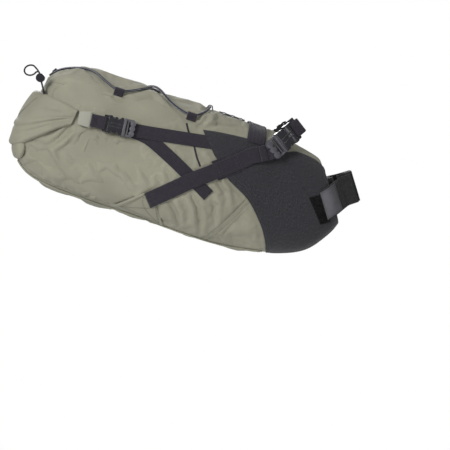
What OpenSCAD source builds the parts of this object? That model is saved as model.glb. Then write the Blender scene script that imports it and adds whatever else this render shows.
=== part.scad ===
// Roll-top saddle bag that hangs from the two saddle rails and grips the seatpost.
// Millimetres. The origin is the centre of the seatpost strap, on the seatpost's axis.
// +X is the way the bicycle travels, +Z is up, and -Y is the bicycle's right-hand side.

/* [Bag] */
// Angle of the bag's long axis above level, rising to the rear
bag_tilt = 19; // [14:1:22]
// Greatest width of the packed bag
bag_w = 176; // [160:2:190]
// How boxy a cross-section is: 2 is an ellipse
squareness = 2.8; // [2.4:0.1:3.2]
// Thickness of the coated shell fabric with its lining
shell_t = 1.5; // [1.2:0.1:2]
// Thickness of the woven side panels
panel_t = 1; // [0.8:0.1:1.2]

/* [Webbing] */
// Width of the compression straps
comp_w = 20; // [20:1:22]
// Width of the straps that hang from the saddle rails
rail_w = 25; // [24:1:26]
// Thickness of webbing
web_t = 1.5; // [1.2:0.1:1.6]

/* [Seatpost strap] */
// Diameter of the seatpost
post_d = 30.9; // [30:0.1:31.2]
// Width of the hook-and-loop strap
post_strap_w = 50; // [44:1:54]

/* [Saddle rails] */
// Diameter of a saddle rail
rail_d = 7; // [6.5:0.1:7.4]

/* [Cords] */
// Diameter of the elastic cord
bungee_d = 4; // [3:0.5:4]
// Diameter of the thin pull cord
pull_d = 2.2; // [1.8:0.1:2.4]

/* [Hidden] */
$fn = 48;

// Each section is a line from its lower end to its upper end, and a half-width:
// [upper x, upper z, lower x, lower z, part of half the bag's width].
// The sections lean forward at the nose, to lie along the seatpost.
SECTIONS = [
    [-506, -8, -520, -95, 0.57], [-497, 20, -508, -118, 0.73],
    [-478, 40, -482, -137, 0.86], [-440, 51, -440, -145, 0.95],
    [-380, 53, -370, -147, 1.00], [-310, 53, -300, -146, 1.00],
    [-240, 54, -230, -148, 0.97], [-185, 54, -165, -147, 0.89],
    [-140, 53, -110, -139, 0.80], [-100, 48, -60, -127, 0.68],
    [-70, 43, -22, -107, 0.58], [-49, 37, 4, -72, 0.50],
    [-42, 27, 13, -50, 0.41]];
LAST = len(SECTIONS) - 1;

// The seatpost stands at this angle to the bag's own vertical
nose_lean = 36;
post_tilt = nose_lean - bag_tilt;
post_r = post_d / 2;
bore_gap = 0.05;

shell_green = [0.60, 0.59, 0.52];
tab_green = [0.66, 0.66, 0.60];
panel_black = [0.16, 0.16, 0.18];
web_black = [0.11, 0.10, 0.13];
plastic_black = [0.15, 0.15, 0.17];
tab_grey = [0.35, 0.35, 0.38];
steel = [0.7, 0.7, 0.7];
liner_grey = [0.55, 0.57, 0.60];

// ---------------------------------------------------------------- the bag's surface

function spline(a, b, c, d, f) =
    0.5 * (2 * b + (c - a) * f + (2 * a - 5 * b + 4 * c - d) * f * f
    + (3 * b - a - 3 * c + d) * f * f * f);

function pick(list, i) = list[min(max(i, 0), len(list) - 1)];

// A smooth curve through a list of points or numbers, read at t from 0 to its last index
function along(list, t) =
    let (v = min(max(t, 0), len(list) - 1), i = min(floor(v), len(list) - 2))
    spline(pick(list, i - 1), list[i], list[i + 1], pick(list, i + 2), v - i);

function smooth(list, steps) =
    [for (k = [0:steps]) along(list, k * (len(list) - 1) / steps)];

function section(u) = along(SECTIONS, u);
function section_middle(u) =
    let (s = section(u)) [(s[0] + s[2]) / 2, 0, (s[1] + s[3]) / 2];
function section_normal(u) = let (s = section(u)) unit([s[1] - s[3], 0, s[2] - s[0]]);
function signed_power(v) = sign(v) * pow(abs(v), 2 / squareness);

// A point of the bag's surface. u runs from the rear, 0, to the nose, LAST. The angle
// runs round the section: 0 is the right side, 90 the top, 180 the left, 270 the bottom.
function skin(u, angle, off = 0) =
    let (s = section(u), hx = (s[0] - s[2]) / 2, hz = (s[1] - s[3]) / 2,
        k = 1 + off / norm([hx, hz]), up = signed_power(sin(angle)))
    [(s[0] + s[2]) / 2 + hx * k * up,
        -(s[4] * bag_w / 2 + off) * signed_power(cos(angle)),
        (s[1] + s[3]) / 2 + hz * k * up];

// Where a point of the side view lies: ahead of a section or behind it
function ahead(u, x, z) =
    let (s = section(u)) (x - s[2]) * (s[1] - s[3]) - (z - s[3]) * (s[0] - s[2]);

function find_u(x, z, low = 0, high = LAST, turns = 12) =
    let (middle = (low + high) / 2)
    turns == 0 ? middle
    : ahead(middle, x, z) > 0 ? find_u(x, z, middle, high, turns - 1)
    : find_u(x, z, low, middle, turns - 1);

function find_angle(u, x, z) =
    let (s = section(u), hx = (s[0] - s[2]) / 2, hz = (s[1] - s[3]) / 2,
        raw = ((x - (s[0] + s[2]) / 2) * hx + (z - (s[1] + s[3]) / 2) * hz)
            / (hx * hx + hz * hz),
        r = min(max(raw, -1), 1))
    asin(sign(r) * pow(abs(r), squareness / 2));

function unit(v) = v / norm(v);

function skin_normal(u, angle) =
    let (step = 0.05, du = skin(u + step, angle) - skin(u - step, angle),
        da = skin(u, angle + 2) - skin(u, angle - 2))
    unit(cross(du, da));

// [point, outward normal] of the right side, from the side view's x and z
function on_side(x, z, off) =
    let (u = find_u(x, z), angle = find_angle(u, x, z))
    [skin(u, angle, off), skin_normal(u, angle)];

// ---------------------------------------------------------------- solids from points

function grid_faces(rows, cols, base, flip) =
    [for (i = [0:rows - 2], j = [0:cols - 2], half = [0, 1])
        let (a = base + i * cols + j, b = a + 1, c = a + cols, d = c + 1,
            face = half == 0 ? [a, b, d] : [a, d, c])
        flip ? [face[2], face[1], face[0]] : face];

function flatten(list) = [for (row = list) for (p = row) p];

// A sheet with a thickness: two facing grids of points, joined round their edges
module slab(outer, inner) {
    rows = len(outer);
    cols = len(outer[0]);
    count = rows * cols;
    loop = concat(
        [for (j = [0:cols - 1]) j],
        [for (i = [1:rows - 1]) i * cols + cols - 1],
        [for (j = [cols - 2:-1:0]) (rows - 1) * cols + j],
        [for (i = [rows - 2:-1:1]) i * cols]);
    size = len(loop);
    rim = [for (k = [0:size - 1], half = [0, 1])
        let (a = loop[k], b = loop[(k + 1) % size])
        half == 0 ? [b, a, a + count] : [b, a + count, b + count]];
    polyhedron(concat(flatten(outer), flatten(inner)),
        concat(grid_faces(rows, cols, 0, false), grid_faces(rows, cols, count, true), rim));
}

// A closed solid through rings of points, with a fan over each end
module loft(rings) {
    rows = len(rings);
    cols = len(rings[0]);
    ones = [for (p = rings[0]) 1];
    first = ones * rings[0] / cols;
    last = ones * rings[rows - 1] / cols;
    centre = rows * cols;
    walls = [for (i = [0:rows - 2], j = [0:cols - 1], half = [0, 1])
        let (a = i * cols + j, b = i * cols + (j + 1) % cols, c = a + cols, d = b + cols)
        half == 0 ? [a, b, d] : [a, d, c]];
    start = [for (j = [0:cols - 1]) [(j + 1) % cols, j, centre]];
    end = [for (j = [0:cols - 1])
        [(rows - 1) * cols + j, (rows - 1) * cols + (j + 1) % cols, centre + 1]];
    polyhedron(concat(flatten(rings), [first, last]), concat(walls, start, end));
}

// A flat strap along a path of [point, normal] pairs
module strap(path, width, thick) {
    loft([for (i = [0:len(path) - 1])
        let (tangent = unit(pick(path, i + 1)[0] - pick(path, i - 1)[0]),
            side = unit(cross(path[i][1], tangent)), lift = cross(tangent, side),
            p = path[i][0])
        [for (corner = [[-1, -1], [-1, 1], [1, 1], [1, -1]])
            p + side * corner[0] * width / 2 + lift * corner[1] * thick / 2]]);
}

// A strap that lies on the right side, along [x, z, height of its middle over the skin]
module side_strap(route, width, thick, steps) {
    points = smooth(route, steps);
    strap([for (p = points) on_side(p[0], p[1], p[2])], width, thick);
}

// A round cord through points. The hint is a direction that the cord never runs along.
module cord(points, radius, sides, hint = [0, 0, 1]) {
    loft([for (i = [0:len(points) - 1])
        let (tangent = unit(pick(points, i + 1) - pick(points, i - 1)),
            across = unit(cross(hint, tangent)), lift = cross(tangent, across))
        [for (k = [0:sides - 1])
            points[i] + radius * (across * cos(k * 360 / sides)
                - lift * sin(k * 360 / sides))]]);
}

// A piece of sheet on the skin, over ranges of u and angle
module skin_patch(u0, u1, angle0, angle1, low, high, rows, cols) {
    outer = [for (i = [0:rows]) [for (j = [0:cols])
        skin(u0 + (u1 - u0) * i / rows, angle0 + (angle1 - angle0) * j / cols, high)]];
    inner = [for (i = [0:rows]) [for (j = [0:cols])
        skin(u0 + (u1 - u0) * i / rows, angle0 + (angle1 - angle0) * j / cols, low)]];
    slab(outer, inner);
}

// ---------------------------------------------------------------- frames

module in_bag() { rotate([0, bag_tilt, 0]) children(); }
module in_post() { rotate([0, -post_tilt, 0]) children(); }

module on_hand(hand) {
    if (hand == "left") mirror([0, 1, 0]) children();
    else children();
}

// Children's +X becomes x_axis and their +Z the direction nearest to z_hint
module at_frame(point, x_axis, z_hint) {
    ex = unit(x_axis);
    ez = unit(z_hint - (z_hint * ex) * ex);
    ey = cross(ez, ex);
    multmatrix([
        [ex[0], ey[0], ez[0], point[0]],
        [ex[1], ey[1], ez[1], point[1]],
        [ex[2], ey[2], ez[2], point[2]],
        [0, 0, 0, 1]]) children();
}

// ---------------------------------------------------------------- fabric of the bag

function shell_ring(u, off, sides) =
    [for (k = [0:sides - 1]) skin(u, k * 360 / sides, off)];

// A bag with one open end: up the inside from the nose, round the mouth and back outside
module cup(u_mouth, u_nose, inset, thick, steps, sides) {
    inside = [for (k = [0:steps])
        shell_ring(u_nose - (u_nose - u_mouth) * k / steps, -inset - thick, sides)];
    outside = [for (k = [0:steps])
        shell_ring(u_mouth + (u_nose - u_mouth) * k / steps, -inset, sides)];
    wall = thick * section_normal(u_nose);
    loft(concat([for (i = [0:steps]) i == 0 ? [for (p = inside[0]) p - wall] : inside[i]],
        outside));
}

// The shell is sewn from two sides, a top, a floor and a nose, and is open at the rear.
// One ring in full is 32 facets.
facet = 11.25;
module shell_panel(first, last) {
    color(shell_green) in_bag()
        skin_patch(0, LAST, first * facet, last * facet, -shell_t, 0, 30, last - first);
}

module shell_side(hand) { on_hand(hand) shell_panel(-6, 4); }
module shell_top() { shell_panel(4, 12); }
module shell_floor() { shell_panel(22, 26); }

module shell_nose() {
    rim = shell_ring(LAST, -shell_t, 32);
    wall = shell_t * section_normal(LAST);
    color(shell_green) in_bag() loft([[for (p = rim) p - wall], rim]);
}

// Rear edge of a side panel, as u, for a height fraction from the bottom, 0, to the top, 1
panel_rear = [8.6, 8.5, 8.3, 8.05, 7.7, 7.2, 6.75, 6.4, 6.15, 6.0];
// Upper edge of a side panel, as an angle, from its rear to the nose
panel_top = [41, 43, 45, 46, 47, 47, 50, 64, 73, 70];
panel_bottom = -78;
panel_lift = 0.7;

module side_panel(hand) {
    rows = 20;
    cols = 12;
    function u_at(i, j) =
        let (rear = along(panel_rear, 9 * j / cols)) rear + (LAST - 0.05 - rear) * i / rows;
    function angle_at(i, j) =
        panel_bottom + (along(panel_top, 9 * i / rows) - panel_bottom) * j / cols;
    function sheet(off) =
        [for (i = [0:rows]) [for (j = [0:cols]) skin(u_at(i, j), angle_at(i, j), off)]];
    color(panel_black) in_bag() on_hand(hand)
        slab(sheet(panel_lift + panel_t), sheet(panel_lift));
}

module bottom_panel() {
    color(panel_black) in_bag()
        skin_patch(8.7, LAST - 0.1, 258.5, 281.5, 0.7, 1.7, 10, 6);
}

// Stiff sheet between the shell and the dry bag, which keeps the floor from sagging
module bottom_stiffener() {
    color(plastic_black) in_bag()
        skin_patch(3, 10.5, 244, 296, -3.4, -2.6, 12, 8);
}

module bottom_piping() {
    points = [for (k = [0:30]) skin(1.2 + k * 7.2 / 30, -72, 1.6)];
    color(shell_green) in_bag() for (hand = ["right", "left"])
        on_hand(hand) cord(points, 1.2, 6);
}

// Thin binding over the seam below the second cord tab, on each side
module seam_binding() {
    route = [[-272, 22, 0.7], [-266, 12, 0.7], [-250, -7, 0.7], [-240, -22, 0.7],
        [-235, -29, 0.7]];
    color(web_black) in_bag() for (hand = ["right", "left"])
        on_hand(hand) side_strap(route, 2.2, 0.6, 8);
}

// ---------------------------------------------------------------- dry bag

dry_inset = 4.5;
dry_t = 1;
dry_nose = 10.6;

module inner_dry_bag() {
    color(liner_grey) in_bag() cup(1.1, dry_nose, dry_inset, dry_t, 20, 24);
}

// The dry bag's mouth, flattened and rolled
module inner_bag_roll() {
    half = 46;
    rings = [for (k = [0:12])
        let (f = k / 6 - 1, y = half * f, h = 14 + 12 * (1 - f * f), d = 5 + 2 * (1 - f * f))
        [for (j = [0:11]) [-496 + 6 * f * f + d * cos(j * 30), y, -58 + h * sin(j * 30)]]];
    color(liner_grey) in_bag() loft(rings);
}

// The air valve sits on the dry bag's front end, behind the nose
module at_valve() {
    normal = section_normal(dry_nose);
    in_bag() at_frame(section_middle(dry_nose) + 0.3 * normal, [0, 1, 0], normal) children();
}

module air_valve_body() {
    color(plastic_black) at_valve() difference() {
        union() {
            cylinder(h = 2, r = 15);
            cylinder(h = 7, r = 11);
        }
        translate([0, 0, 1.5]) cylinder(h = 6, r = 7);
        translate([0, 0, -1]) cylinder(h = 4, r = 3);
    }
}

module air_valve_button() {
    color(tab_grey) at_valve() translate([0, 0, 4.2]) {
        cylinder(h = 3.6, r = 6.6);
        translate([0, 0, 3.6]) cylinder(h = 0.8, r = 5.4);
    }
}

// ---------------------------------------------------------------- roll-top closure

// Plan of the roll, from the right end tab round the rear: [x, y, z, height]
roll_plan = [
    [-441, -88.5, -26, 24], [-462, -89, -32, 44], [-485, -83, -41, 66],
    [-506, -68, -49, 84], [-520, -38, -53, 91], [-524, 0, -54, 92]];

function roll_point(t) =
    let (half = t <= 5 ? along(roll_plan, t) : along(roll_plan, 10 - t))
    t <= 5 ? half : [half[0], -half[1], half[2], half[3]];

module roll_layer(out, thick, trim, steps) {
    function ring(k) =
        let (t = trim + (10 - 2 * trim) * k / steps, p = roll_point(t),
            ahead = roll_point(t + 0.1), behind = roll_point(t - 0.1),
            travel = unit([ahead[0] - behind[0], ahead[1] - behind[1], 0]),
            outward = [travel[1], -travel[0], 0], half = p[3] / 2)
        [for (j = [0:13])
            let (a = j * 360 / 14)
            [p[0], p[1], p[2]] + outward * (-out + thick / 2 * cos(a))
                + [0.12 * half * sin(a), 0, half * sin(a)]];
    loft([for (k = [0:steps]) ring(k)]);
}

module roll_outer_layer() {
    color(shell_green) in_bag() roll_layer(0, 4.4, 0, 30);
}

// A flexible strip along the rear of the mouth
module closure_stiffener() {
    color(plastic_black) in_bag() strap(
        [for (k = [-4:4])
            let (p = roll_point(5 + k * 0.22)) [[p[0] + 4, p[1], -50], [-1, 0, 0.12]]],
        16, 0.8);
}

module roll_inner_layer() {
    rings = [for (k = [0:12])
        let (f = k / 6 - 1)
        [for (j = [0:11])
            [-516.4 + 5 * f * f + 2.2 * cos(j * 30) + 5.8 * sin(j * 30), 40 * f,
                -52 + (36 - 8 * f * f) * sin(j * 30)]]];
    color(shell_green) in_bag() loft(rings);
}

// ---------------------------------------------------------------- side-release buckles

// In a buckle's own frame +X points out of the socket's mouth, at x = 0, along the way
// the plug pulls out, and +Z points away from the bag. w is the webbing's width.
function buckle_w(w) = w + 8;
function buckle_t(w) = 0.4 * w + 1.5;
function socket_len(w) = 1.15 * w;
function socket_end(w) = socket_len(w) + 8;
prong_gap = 0.6;

module rounded_box(x0, x1, width, low, high, r) {
    translate([0, 0, low]) linear_extrude(high - low) union() {
        translate([x0, -width / 2 + r]) square([x1 - x0, width - 2 * r]);
        translate([x0 + r, -width / 2]) square([x1 - x0 - 2 * r, width]);
        for (x = [x0 + r, x1 - r], y = [-width / 2 + r, width / 2 - r])
            translate([x, y]) circle(r);
    }
}

module buckle_socket(w) {
    t = buckle_t(w);
    len = socket_len(w);
    bw = buckle_w(w);
    difference() {
        union() {
            rounded_box(-len, 0, bw, -t / 2, t / 2, 2);
            rounded_box(-len - 8, -len + 3, bw - 1, -2.2, 2.2, 2);
        }
        translate([-len + 2.5, -w / 2 - 0.5, -t / 2 + 1.6]) cube([len, w + 1, t - 3.2]);
        for (side = [-1, 1])
            translate([-len / 2, side * (bw / 2 + 2.5), -t]) cylinder(h = 2 * t, r = 7.5);
        translate([-len - 4.8, -w / 2 - 0.5, -t]) cube([3.8, w + 1, 2 * t]);
        translate([-len / 2 - 5, -w * 0.12, t / 2 - 0.5]) cube([9, w * 0.24, 1]);
    }
}

// Two spring arms whose tips click into the socket's side windows
module buckle_prongs(w) {
    t = buckle_t(w);
    len = socket_len(w);
    arm_t = t - 3.2 - 0.8;
    translate([0, 0, -arm_t / 2]) linear_extrude(arm_t) for (side = [-1, 1]) {
        translate([-len / 2 - 4, side * (w / 2 - 2.4) - 1.4]) square([len / 2 + 4.6, 2.8]);
        translate([-len / 2, side * (w / 2 - 0.2)]) circle(3.4);
    }
}

module buckle_plug(w) {
    t = buckle_t(w);
    len = socket_len(w);
    bw = buckle_w(w);
    end = 0.85 * w;
    guide_t = t - 3.2 - 0.8;
    rounded_box(prong_gap, prong_gap + 4, bw, -t / 2, t / 2, 1.5);
    translate([-len + 4, -1.8, -guide_t / 2]) cube([len - 3, 3.6, guide_t]);
    difference() {
        rounded_box(prong_gap + 2, end, bw, -1.2, 2.4, 2);
        translate([prong_gap + 4, -w / 2 - 0.5, -t]) cube([end - 8.6, w + 1, 2 * t]);
    }
    translate([prong_gap + 6, -w / 2 - 1, -1]) cube([2.2, w + 2, 2.8]);
    thumb = (bw - 4) / 6;
    for (k = [-1:1])
        translate([end - 1.8, k * 2 * thumb, -1.2]) cylinder(h = t / 2 + 1.6, r = thumb * 1.08);
}

// Compression buckle: beside the roll, on the flank
comp_x = -364.6;
comp_z = -17.9;
comp_angle = 6.4;
comp_height = 7.2;

module at_comp(hand) {
    p = on_side(comp_x, comp_z, comp_height);
    in_bag() on_hand(hand)
        at_frame(p[0], [cos(comp_angle), 0, sin(comp_angle)], p[1]) children();
}

module compression_socket(hand) {
    color(plastic_black) at_comp(hand) buckle_socket(comp_w);
}

module compression_plug(hand) {
    color(tab_grey) at_comp(hand) buckle_plug(comp_w);
}

module compression_prongs(hand) {
    color(plastic_black) at_comp(hand) buckle_prongs(comp_w);
}

// Webbing folded round the socket's bar
tab_len = 19;
module folded_loop(w, bar_x, back_x) {
    rotate([90, 0, 0]) linear_extrude(w, center = true) difference() {
        union() {
            translate([back_x, -3.9]) square([bar_x + 1.4 - back_x, 7.8]);
            translate([bar_x + 1.4, -2.6]) square([0.9, 5.2]);
        }
        translate([back_x + 3, -2.45]) square([bar_x + 0.8 - back_x - 3, 4.9]);
    }
}

module tab_webbing(hand) {
    bar = -socket_end(comp_w) + 2.8;
    color(web_black) at_comp(hand)
        folded_loop(comp_w, bar, -socket_end(comp_w) - tab_len);
}

module end_tab(hand) {
    color(tab_green) in_bag() on_hand(hand)
        strap([on_side(-415.2, -23.2, 7.2), on_side(-428, -24.6, 7),
            on_side(-438.2, -26, 5.2)], comp_w + 4, 2);
}

// Sewn at the side panel's rear edge, and ends in the plug's ladder
module compression_strap(hand) {
    color(web_black) in_bag() on_hand(hand) side_strap(
        [[-355, -16.8, 5], [-344, -15, 4.9], [-322, -11.4, 3.6], [-290, -5.8, 2.6],
            [-258, -0.2, 2], [-233, 4.3, 1.6]], comp_w, web_t, 14);
}

// The free end of the compression strap, tucked under the saddle strap
module compression_tail(hand) {
    color(web_black) in_bag() on_hand(hand) side_strap(
        [[-347, -18, 2.5], [-335, -18, 1.2], [-318, -21, 1.2], [-296, -29.5, 1.2],
            [-272, -40, 1.2], [-248, -51.5, 1.2], [-225, -63, 1.2], [-203, -74, 1.2]],
        comp_w, web_t - 0.1, 18);
}

// ---------------------------------------------------------------- saddle straps

// Sewn fabric triangle at the bottom edge that carries the saddle strap
module strap_anchor(hand) {
    corners = [[-298, -101], [-338, -137], [-253, -143], [-275, -116]];
    function at(i, j, off) =
        let (low = corners[1] + (corners[2] - corners[1]) * i,
            high = corners[0] + (corners[3] - corners[0]) * i,
            p = low + (high - low) * j)
        on_side(p[0], p[1], off)[0];
    function sheet(off) = [for (i = [0:5]) [for (j = [0:4]) at(i / 5, j / 4, off)]];
    color(shell_green) in_bag() on_hand(hand) slab(sheet(1.5), sheet(0.4));
}

// The buckle that hangs from the rail: its mouth, its pull direction and its face
rail_mouth = [-121, -61.2, 40];
rail_pull = [-0.472, -0.435, -0.787];
rail_face = [0.27, -0.91, 0.29];

module at_rail_buckle(hand) {
    in_bag() on_hand(hand) at_frame(rail_mouth, rail_pull, rail_face) children();
}

module saddle_strap(hand) {
    ex = unit(rail_pull);
    ez = unit(rail_face - (rail_face * ex) * ex);
    low = [for (p = smooth([[-291, -112, 2.7], [-262, -85, 2.7], [-236, -60, 3.7],
            [-212, -40, 4], [-188, -20, 4], [-163, 2, 4.6]], 13))
        on_side(p[0], p[1], p[2])];
    high = [[rail_mouth + ex * 22 - ez * 2.8, ez], [rail_mouth + ex * 11 - ez * 2.8, ez]];
    bend = [for (k = [1:3])
        let (f = k / 4, a = low[13], b = high[0])
        [a[0] * (1 - f) + b[0] * f - [0, 1.6 * sin(180 * f), 0],
            unit(a[1] * (1 - f) + b[1] * f)]];
    color(web_black) in_bag() on_hand(hand) strap(concat(low, bend, high), rail_w, web_t);
}

module strap_reinforcement(hand) {
    color(web_black) in_bag() on_hand(hand)
        side_strap([[-203, -32.5, 2.6], [-188, -20, 2.6], [-172, -6, 2.6]],
            rail_w + 7, 0.9, 6);
}

// Band over the top that joins the two saddle straps
module top_yoke() {
    color(web_black) in_bag() skin_patch(7.2, 7.85, 40, 140, 2, 2 + web_t, 3, 18);
}

module saddle_plug(hand) {
    color(tab_grey) at_rail_buckle(hand) buckle_plug(rail_w);
}

module saddle_prongs(hand) {
    color(plastic_black) at_rail_buckle(hand) buckle_prongs(rail_w);
}

module saddle_socket(hand) {
    color(plastic_black) at_rail_buckle(hand) buckle_socket(rail_w);
}

// Webbing from the socket's bar round the saddle rail
rail_loop_x = -socket_end(rail_w) - 9;
module rail_loop(hand) {
    r = rail_d / 2 + bore_gap;
    bar = -socket_end(rail_w) + 2.8;
    color(web_black) at_rail_buckle(hand) rotate([90, 0, 0])
        linear_extrude(rail_w, center = true) difference() {
            union() {
                translate([rail_loop_x, 0]) circle(r + web_t);
                translate([rail_loop_x, -3.9]) square([bar + 1.4 - rail_loop_x, 7.8]);
                translate([bar + 1.4, -2.6]) square([0.9, 5.2]);
            }
            translate([rail_loop_x, 0]) circle(r);
            translate([bar - 3.2, -2.45]) square([4, 4.9]);
        }
}

// ---------------------------------------------------------------- cords

// Webbing along the top, stitched down between its loops
module daisy_band() {
    rows = 18;
    function hump(i) = 1.9 + 2.6 * pow(sin(i * 180 / 6), 2);
    function sheet(i, off) = [for (j = [0:4]) skin(6.25 + 0.8 * i / rows, 82 + 4 * j, off)];
    color(web_black) in_bag()
        slab([for (i = [0:rows]) sheet(i, hump(i))], [for (i = [0:rows]) sheet(i, 0.4)]);
}

tab_height = 4.4;
cord_height = 2.7;
rear_tab_height = 8.4;

// One half of the elastic cord's lacing, from the rear to the front:
// [u, angle, height over the skin]
lacing = [
    [0.95, 89.3, rear_tab_height], [1.9, 88.3, cord_height], [2.9, 80, cord_height],
    [3.45, 58, cord_height], [3.87, 47, tab_height], [4.25, 60, cord_height],
    [4.65, 90, cord_height], [5.1, 122, cord_height], [5.58, 133, tab_height],
    [5.86, 116, cord_height], [5.98, 90, tab_height]];
crossing = 4.65;

function lace(k, steps, sign_y, hop) =
    let (p = along(lacing, k * (len(lacing) - 1) / steps),
        over = hop * exp(-pow((p[0] - crossing) / 0.22, 2)),
        q = skin(p[0], p[1], p[2] + over))
    [q[0], sign_y * q[1], q[2]];

module bungee_cord() {
    steps = 38;
    there = [for (k = [0:steps]) lace(k, steps, 1, 0)];
    back = [for (k = [steps - 1:-1:0]) lace(k, steps, -1, bungee_d + 0.6)];
    color(web_black) in_bag() cord(concat(there, back), bungee_d / 2, 8);
}

// A short webbing loop that the cord runs through
tab_half = 3.2;
module cord_tab(length, slack) {
    r = bungee_d / 2 + slack;
    rotate([90, 0, 90]) linear_extrude(length, center = true) difference() {
        union() {
            for (x = [-tab_half, tab_half]) translate([x, 0]) circle(r + 1.1);
            square([2 * tab_half, 2 * r + 2.2], center = true);
        }
        for (x = [-tab_half, tab_half]) translate([x, 0]) circle(r);
        square([2 * tab_half, 2 * r], center = true);
    }
}

module tab_at(u, angle, height, turn, length, slack = 0.8) {
    travel = skin(u + 0.1, angle) - skin(u - 0.1, angle);
    in_bag() at_frame(skin(u, angle, height), travel, skin_normal(u, angle))
        rotate([0, 0, turn]) cord_tab(length, slack);
}

module cord_tabs() {
    color(web_black) {
        for (hand = [0, 1]) {
            tab_at(3.87, hand == 0 ? 47 : 133, tab_height, 0, 11);
            tab_at(5.58, hand == 0 ? 47 : 133, tab_height, 0, 11);
        }
        tab_at(1.15, 90, rear_tab_height, 0, 6, 1.3);
        tab_at(5.98, 90, tab_height, 90, 10);
    }
}

// Cord lock that stands behind the roll's right-hand corner, and its thin pull cord
lock_centre = [-511, -66, 15];
lock_axis = [-0.53, 0, 0.848];
lock_len = 18;
lock_r = 7;
cord_pitch = 2.1;

module at_lock() {
    in_bag() at_frame(lock_centre, [0, 1, 0], lock_axis) children();
}

// In the lock's frame: +X runs along the barrel, +Z along the cord
module pull_cord() {
    r = pull_d / 2;
    leg = [for (k = [0:4]) [cord_pitch, 0, -24 + 8 * k]];
    round_top = [for (k = [0:14])
        let (a = -35 + 250 * k / 14) [10 * cos(a), 0, 20 + 9 * sin(a)]];
    down = [for (k = [4:-1:0]) [-cord_pitch, 0, -24 + 8 * k]];
    color(web_black) at_lock() cord(concat(leg, round_top, down), r, 6, [0, 1, 0]);
}

module pull_cord_anchor() {
    color(web_black) at_lock() translate([0, 0, -23.6]) difference() {
        rounded_tab();
        for (x = [-cord_pitch, cord_pitch])
            translate([x, 0, -2]) cylinder(h = 6, r = pull_d / 2 + 0.15);
    }
}

module rounded_tab() {
    translate([0, 0, -2]) linear_extrude(5) union() {
        square([7, 4], center = true);
        for (x = [-3.5, 3.5]) translate([x, 0]) circle(2);
    }
}

// The barrel is a cup that opens towards +X, with a slot for the cords across it
module cord_lock_barrel() {
    color(plastic_black) at_lock() difference() {
        translate([-lock_len / 2, 0, 0]) rotate([0, 90, 0]) cylinder(h = lock_len, r = lock_r);
        translate([-lock_len / 2 + 1.6, 0, 0]) rotate([0, 90, 0])
            cylinder(h = lock_len, r = lock_r - 1.6);
        translate([-3.6, -1.6, -10]) cube([7.2, 3.2, 20]);
    }
}

// The plunger's window is longer than the cords need, so that it can travel
module cord_lock_button() {
    color(tab_grey) at_lock() difference() {
        union() {
            translate([-4.3, 0, 0]) rotate([0, 90, 0]) cylinder(h = 17, r = lock_r - 1.9);
            translate([12.6, 0, 0]) rotate([0, 90, 0]) cylinder(h = 1.8, r = lock_r - 1.2);
        }
        translate([-3.4, -1.7, -10]) cube([10.4, 3.4, 20]);
    }
}

// Compression spring between the barrel's closed end and the plunger
module cord_lock_spring() {
    turns = 2.5;
    points = [for (k = [0:36])
        let (a = 360 * turns * k / 36) [-7.1 + 2.5 * k / 36, 3 * cos(a), 3 * sin(a)]];
    color(steel) at_lock() cord(points, 0.25, 6, [1, 0, 0]);
}

// ---------------------------------------------------------------- seatpost strap

half_w = post_strap_w / 2;

// Rubber-faced pad between the nose and the seatpost
module seatpost_pad() {
    color(plastic_black) in_post() difference() {
        translate([-18.2, -20, -half_w]) cube([12.2, 40, post_strap_w]);
        cylinder(h = 80, r = post_r + bore_gap, center = true);
    }
}

// Sewn to the nose's left side, and goes round the front of the seatpost to a fold
module seatpost_strap() {
    strap_t = 2.5;
    r = post_r + bore_gap;
    leg = flap_path(0);
    near = [leg[3][0][0], -leg[3][0][1]];
    far = [leg[4][0][0], -leg[4][0][1]];
    color(web_black) in_post() translate([0, 0, -half_w]) linear_extrude(post_strap_w)
        difference() {
            union() {
                circle(r + strap_t);
                translate([0, -15]) square([22, 31]);
                translate([20, -13]) square([6, 27]);
                translate([22, -11]) circle(4);
                translate([15, -18.9]) square([8, 6]);
                translate([22, 12]) circle(4);
                polygon([[-2, 16], [4, 17.6], near + [0.5, 1.4], far + [0, 1.2],
                    far - [0, 1.2], near - [0.5, 1.2], [-5.5, 20.6]]);
            }
            circle(r);
            translate([-20, -20]) square([14.5, 40.2]);
            translate([-40, -30]) square([40.4, 30]);
        }
}

// Path of the flap's middle, from its hinge at the front back over the nose
function from_bag(p) =
    let (a = nose_lean)
    [p[0] * cos(a) + p[2] * sin(a), p[1], -p[0] * sin(a) + p[2] * cos(a)];

flap_t = 2.2;
function flap_path(extra) =
    let (rear = on_side(-22, -31, 5.2 + extra), middle = on_side(-11, -18, 7.5 + extra))
    [[[21, -20.4 - extra, -2], [0, -1, 0]],
        [[6, -20.6 - extra, -2.5], [0, -1, 0]],
        [[0, -23 - extra, -4], unit([-0.4, -1, 0])],
        [from_bag(middle[0]), unit([-0.5, -1, 0])],
        [from_bag(rear[0]), unit([-0.35, -1, 0])]];

module seatpost_band(path, width, thick) {
    loft([for (p = path)
        [for (corner = [[-1, -1], [-1, 1], [1, 1], [1, -1]])
            p[0] + [0, 0, -corner[0] * width / 2] + p[1] * corner[1] * thick / 2]]);
}

module seatpost_flap() {
    color(web_black) in_post() seatpost_band(flap_path(0), post_strap_w - 2, flap_t);
}

// Blank rubber label near the flap's end
module strap_label() {
    path = flap_path(flap_t / 2 + 0.75);
    a = path[3];
    b = path[4];
    near = [a[0] + (b[0] - a[0]) * 0.08, a[1]];
    far = [a[0] + (b[0] - a[0]) * 0.98, b[1]];
    color(tab_grey) in_post() seatpost_band([near, far], post_strap_w - 6, 1.3);
}

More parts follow.
